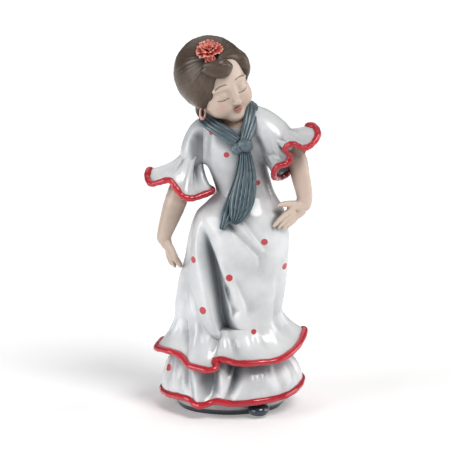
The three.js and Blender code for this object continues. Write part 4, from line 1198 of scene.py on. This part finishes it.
# ----------------------------------------------------------------------------
# The neckerchief.
def pleated_band(rows, pleats, depth, twist=0.0):
    """A band through rows of middle, facing direction, half width and half thickness, with pleats."""
    count, around = sparse(150), sparse(112)
    rows = np.array(rows, float)
    path = curve(rows, np.linspace(0, 1, count))
    middle, face, half_width, half_thickness = path[:, :3], unit(path[:, 3:6]), path[:, 6:7], path[:, 7:8]
    tangent = unit(np.gradient(middle, axis=0))
    across = unit(np.cross(tangent, face))
    face = np.cross(across, tangent)
    angle = np.linspace(0, 2 * np.pi, around, endpoint=False)[None]
    share = np.sign(np.cos(angle)) * np.abs(np.cos(angle)) ** 0.8
    lift = np.sign(np.sin(angle)) * np.abs(np.sin(angle)) ** 0.6
    along = np.linspace(0, 1, count)[:, None]
    waves = np.abs(np.sin(np.pi * pleats / 2 * (share + 0.12 * np.sin(5 * along + twist)) + 0.4))
    pleat = -depth * (1 - waves) ** 1.5 * np.abs(lift)
    rings = (
        middle[:, None]
        + (half_width * share)[..., None] * across[:, None]
        + ((half_thickness + pleat) * lift)[..., None] * face[:, None]
    )
    points, faces = lofted(rings)
    length = np.broadcast_to(along * 60, (count, around))
    marks = {
        # Painted shade: the scarf darkens in the valleys of its pleats.
        "shade_depth": np.concatenate([(-5 * pleat).ravel(), [0, 0]]),
        "along": np.concatenate([length.ravel(), [0, 0]]),
        "across": np.concatenate([np.broadcast_to(share * 4, (count, around)).ravel(), [0, 0]]),
    }
    return points, faces, marks


def knot_field(p):
    loop = ellipsoid(p, (8.6, -18.8, 158.6), (4.8, 3.6, 4), 20)
    tuck = ellipsoid(p, (3.8, -19.4, 156.8), (3.5, 3, 3.5))
    field = union(loop, tuck, 0.4)
    q = p - np.array([7.6, -18.6, 159.4])
    pull = q[:, 0] * 0.9 + q[:, 2] * 0.5
    return field + 0.4 * np.abs(np.sin(1.3 * pull + 0.5)) * smoothstep(0.5, 2.5, -q[:, 1])


def make_scarf():
    bands = [
        ("scarf_collar", COLLAR, 4, 0.5), ("scarf_tail_front", TAIL_FRONT, 6, 0.75),
        ("scarf_tail_back", TAIL_BACK, 3, 0.5),
    ]
    for node, rows, pleats, depth in bands:
        points, faces, marks = pleated_band(rows, pleats, depth, len(node))
        piece(node + "_pleated", node, points, faces, scarf_glaze, marks)
    marks = {"along": lambda p: p[:, 2] * 2, "across": lambda p: p[:, 0] * 1.2}
    solid_piece("scarf_knot", "tied", knot_field, scarf_glaze, marks)


# ----------------------------------------------------------------------------
# Earrings, shoe and base.
def make_earrings():
    for node, (middle, turn) in EARRINGS.items():
        along = np.radians(np.arange(0, 360, 6))[:, None]
        around = np.radians(np.arange(0, 360, 24))[None]
        wire = 0.5 + 0.28 * np.clip(-np.cos(along), 0, 1) ** 2
        far = 2.5 + wire * np.cos(around)
        x, y, z = far * np.sin(along), wire * np.sin(around) + 0 * along, 1.35 * far * np.cos(along)
        c, s = math.cos(math.radians(turn)), math.sin(math.radians(turn))
        rings = np.stack([x * c - y * s, x * s + y * c, z], -1)
        points, faces = lofted(rings + np.array(middle), endless=True)
        piece(node + "_drop", node, points, faces, earring_glaze)


def shoe_field(p):
    field = ellipsoid(p, SHOE["middle"], SHOE["radii"])
    field = np.maximum(field, 1.2 - p[:, 2])
    groove = np.abs(p[:, 2] - 2.7) - 0.28
    return cut(field, np.maximum(groove, -(field + 0.45)), 0.3)


def oval(p, half_width, half_depth):
    """Distance in plan from a slightly wavy oval."""
    turn = np.arctan2(p[:, 1], p[:, 0])
    wave = 1 + 0.008 * np.sin(3 * turn + 1) + 0.006 * np.sin(7 * turn)
    ratio = np.maximum(np.hypot(p[:, 0] / (half_width * wave), p[:, 1] / (half_depth * wave)), 1e-3)
    return np.hypot(p[:, 0], p[:, 1]) * (1 - 1 / ratio)


def base_field(p):
    """The slab on its slightly smaller foot, with the vent rising into it from below."""
    z = p[:, 2]
    slab = cut(oval(p, BASE["half_width"], BASE["half_depth"]), BASE_TOP - z, BASE["edge"])
    slab = np.maximum(slab, SLAB_UNDERSIDE - z)
    foot = np.maximum(oval(p, FOOT["half_width"], FOOT["half_depth"]), np.maximum(z - FOOT["top"], -z))
    vent = np.hypot(p[:, 0], p[:, 1] - VENT["y"]) - VENT["radius"]
    return cut(np.minimum(slab, foot), np.maximum(vent, z - VENT["top"]), 0.3)


def make_base():
    # The base's height sets where its painted contact shadow goes.
    solid_piece("base", "slab", base_field, base_glaze, {"foot": lambda p: p[:, 2]})
    solid_piece("shoe", "toe", shoe_field, shoe_glaze)


make_skirt()
make_cloth()
make_flounces()
make_arms()
make_neck()
make_head()
make_hair()
make_flowers()
make_scarf()
make_earrings()
make_base()


# ----------------------------------------------------------------------------
# The studio: a pale floor under four wide soft lights, from the front right, both sides and behind.
def make_floor():
    mesh = bpy.data.meshes.new("floor")
    size = 6
    corners = [(-size, -size, 0), (size, -size, 0), (size, size, 0), (-size, size, 0)]
    mesh.from_pydata(corners, [], [(0, 1, 2, 3)])
    floor = bpy.data.objects.new("floor", mesh)
    bpy.context.scene.collection.objects.link(floor)
    s = Shader("floor_paper")
    paper = s.mix(s.ramp(s.noise(3), 0.3, 0.7), (0.86, 0.86, 0.86), (0.84, 0.84, 0.84))
    s.feed(s.surface.inputs["Base Color"], paper)
    s.surface.inputs["Emission Color"].default_value = (1, 1, 1, 1)
    s.surface.inputs["Emission Strength"].default_value = 0.29
    s.surface.inputs["Roughness"].default_value = 0.8
    s.surface.inputs["Specular IOR Level"].default_value = 0.1
    mesh.materials.append(s.material)


def soft_light(name, direction, energy, spread, colour):
    """A wide soft light from a direction, the same everywhere."""
    data = bpy.data.lights.new(name, "SUN")
    data.energy = energy
    data.angle = math.radians(spread)
    data.color = colour
    light = bpy.data.objects.new(name, data)
    light.rotation_euler = Vector(direction).to_track_quat("Z", "Y").to_euler()
    bpy.context.scene.collection.objects.link(light)


def make_studio():
    soft_light("key", (0.5, -0.62, 1.0), 1.67, 28, (1, 0.985, 0.965))
    soft_light("left", (-0.86, -0.45, 0.24), 1.75, 45, (0.98, 0.99, 1))
    soft_light("right", (0.95, 0.12, 0.24), 1.15, 45, (1, 1, 1))
    soft_light("behind", (-0.1, 0.75, 0.9), 0.6, 60, (1, 1, 1))
    world = bpy.data.worlds.new("studio")
    world.use_nodes = True
    background = world.node_tree.nodes["Background"]
    background.inputs["Color"].default_value = (0.94, 0.96, 1.0, 1)
    background.inputs["Strength"].default_value = 0.12
    bpy.context.scene.world = world


# The lens in millimetres, the rise in degrees, the rest in metres.
CAMERA = {"lens": 204.2, "rise": 12, "distance": 1.5, "target": (-0.0023, 0, 0.1075)}


def make_camera():
    """Looks at the front from a little above."""
    data = bpy.data.cameras.new("camera")
    data.sensor_width = 36
    data.lens = CAMERA["lens"]
    data.clip_start, data.clip_end = 0.05, 30
    camera = bpy.data.objects.new("camera", data)
    rise = math.radians(CAMERA["rise"])
    target = Vector(CAMERA["target"])
    camera.location = target + CAMERA["distance"] * Vector((0, -math.cos(rise), math.sin(rise)))
    camera.rotation_euler = (target - camera.location).to_track_quat("-Z", "Y").to_euler()
    bpy.context.scene.collection.objects.link(camera)
    bpy.context.scene.camera = camera
    bpy.context.scene.view_settings.view_transform = "Standard"
    bpy.context.scene.view_settings.gamma = 0.78


make_floor()
make_studio()
make_camera()
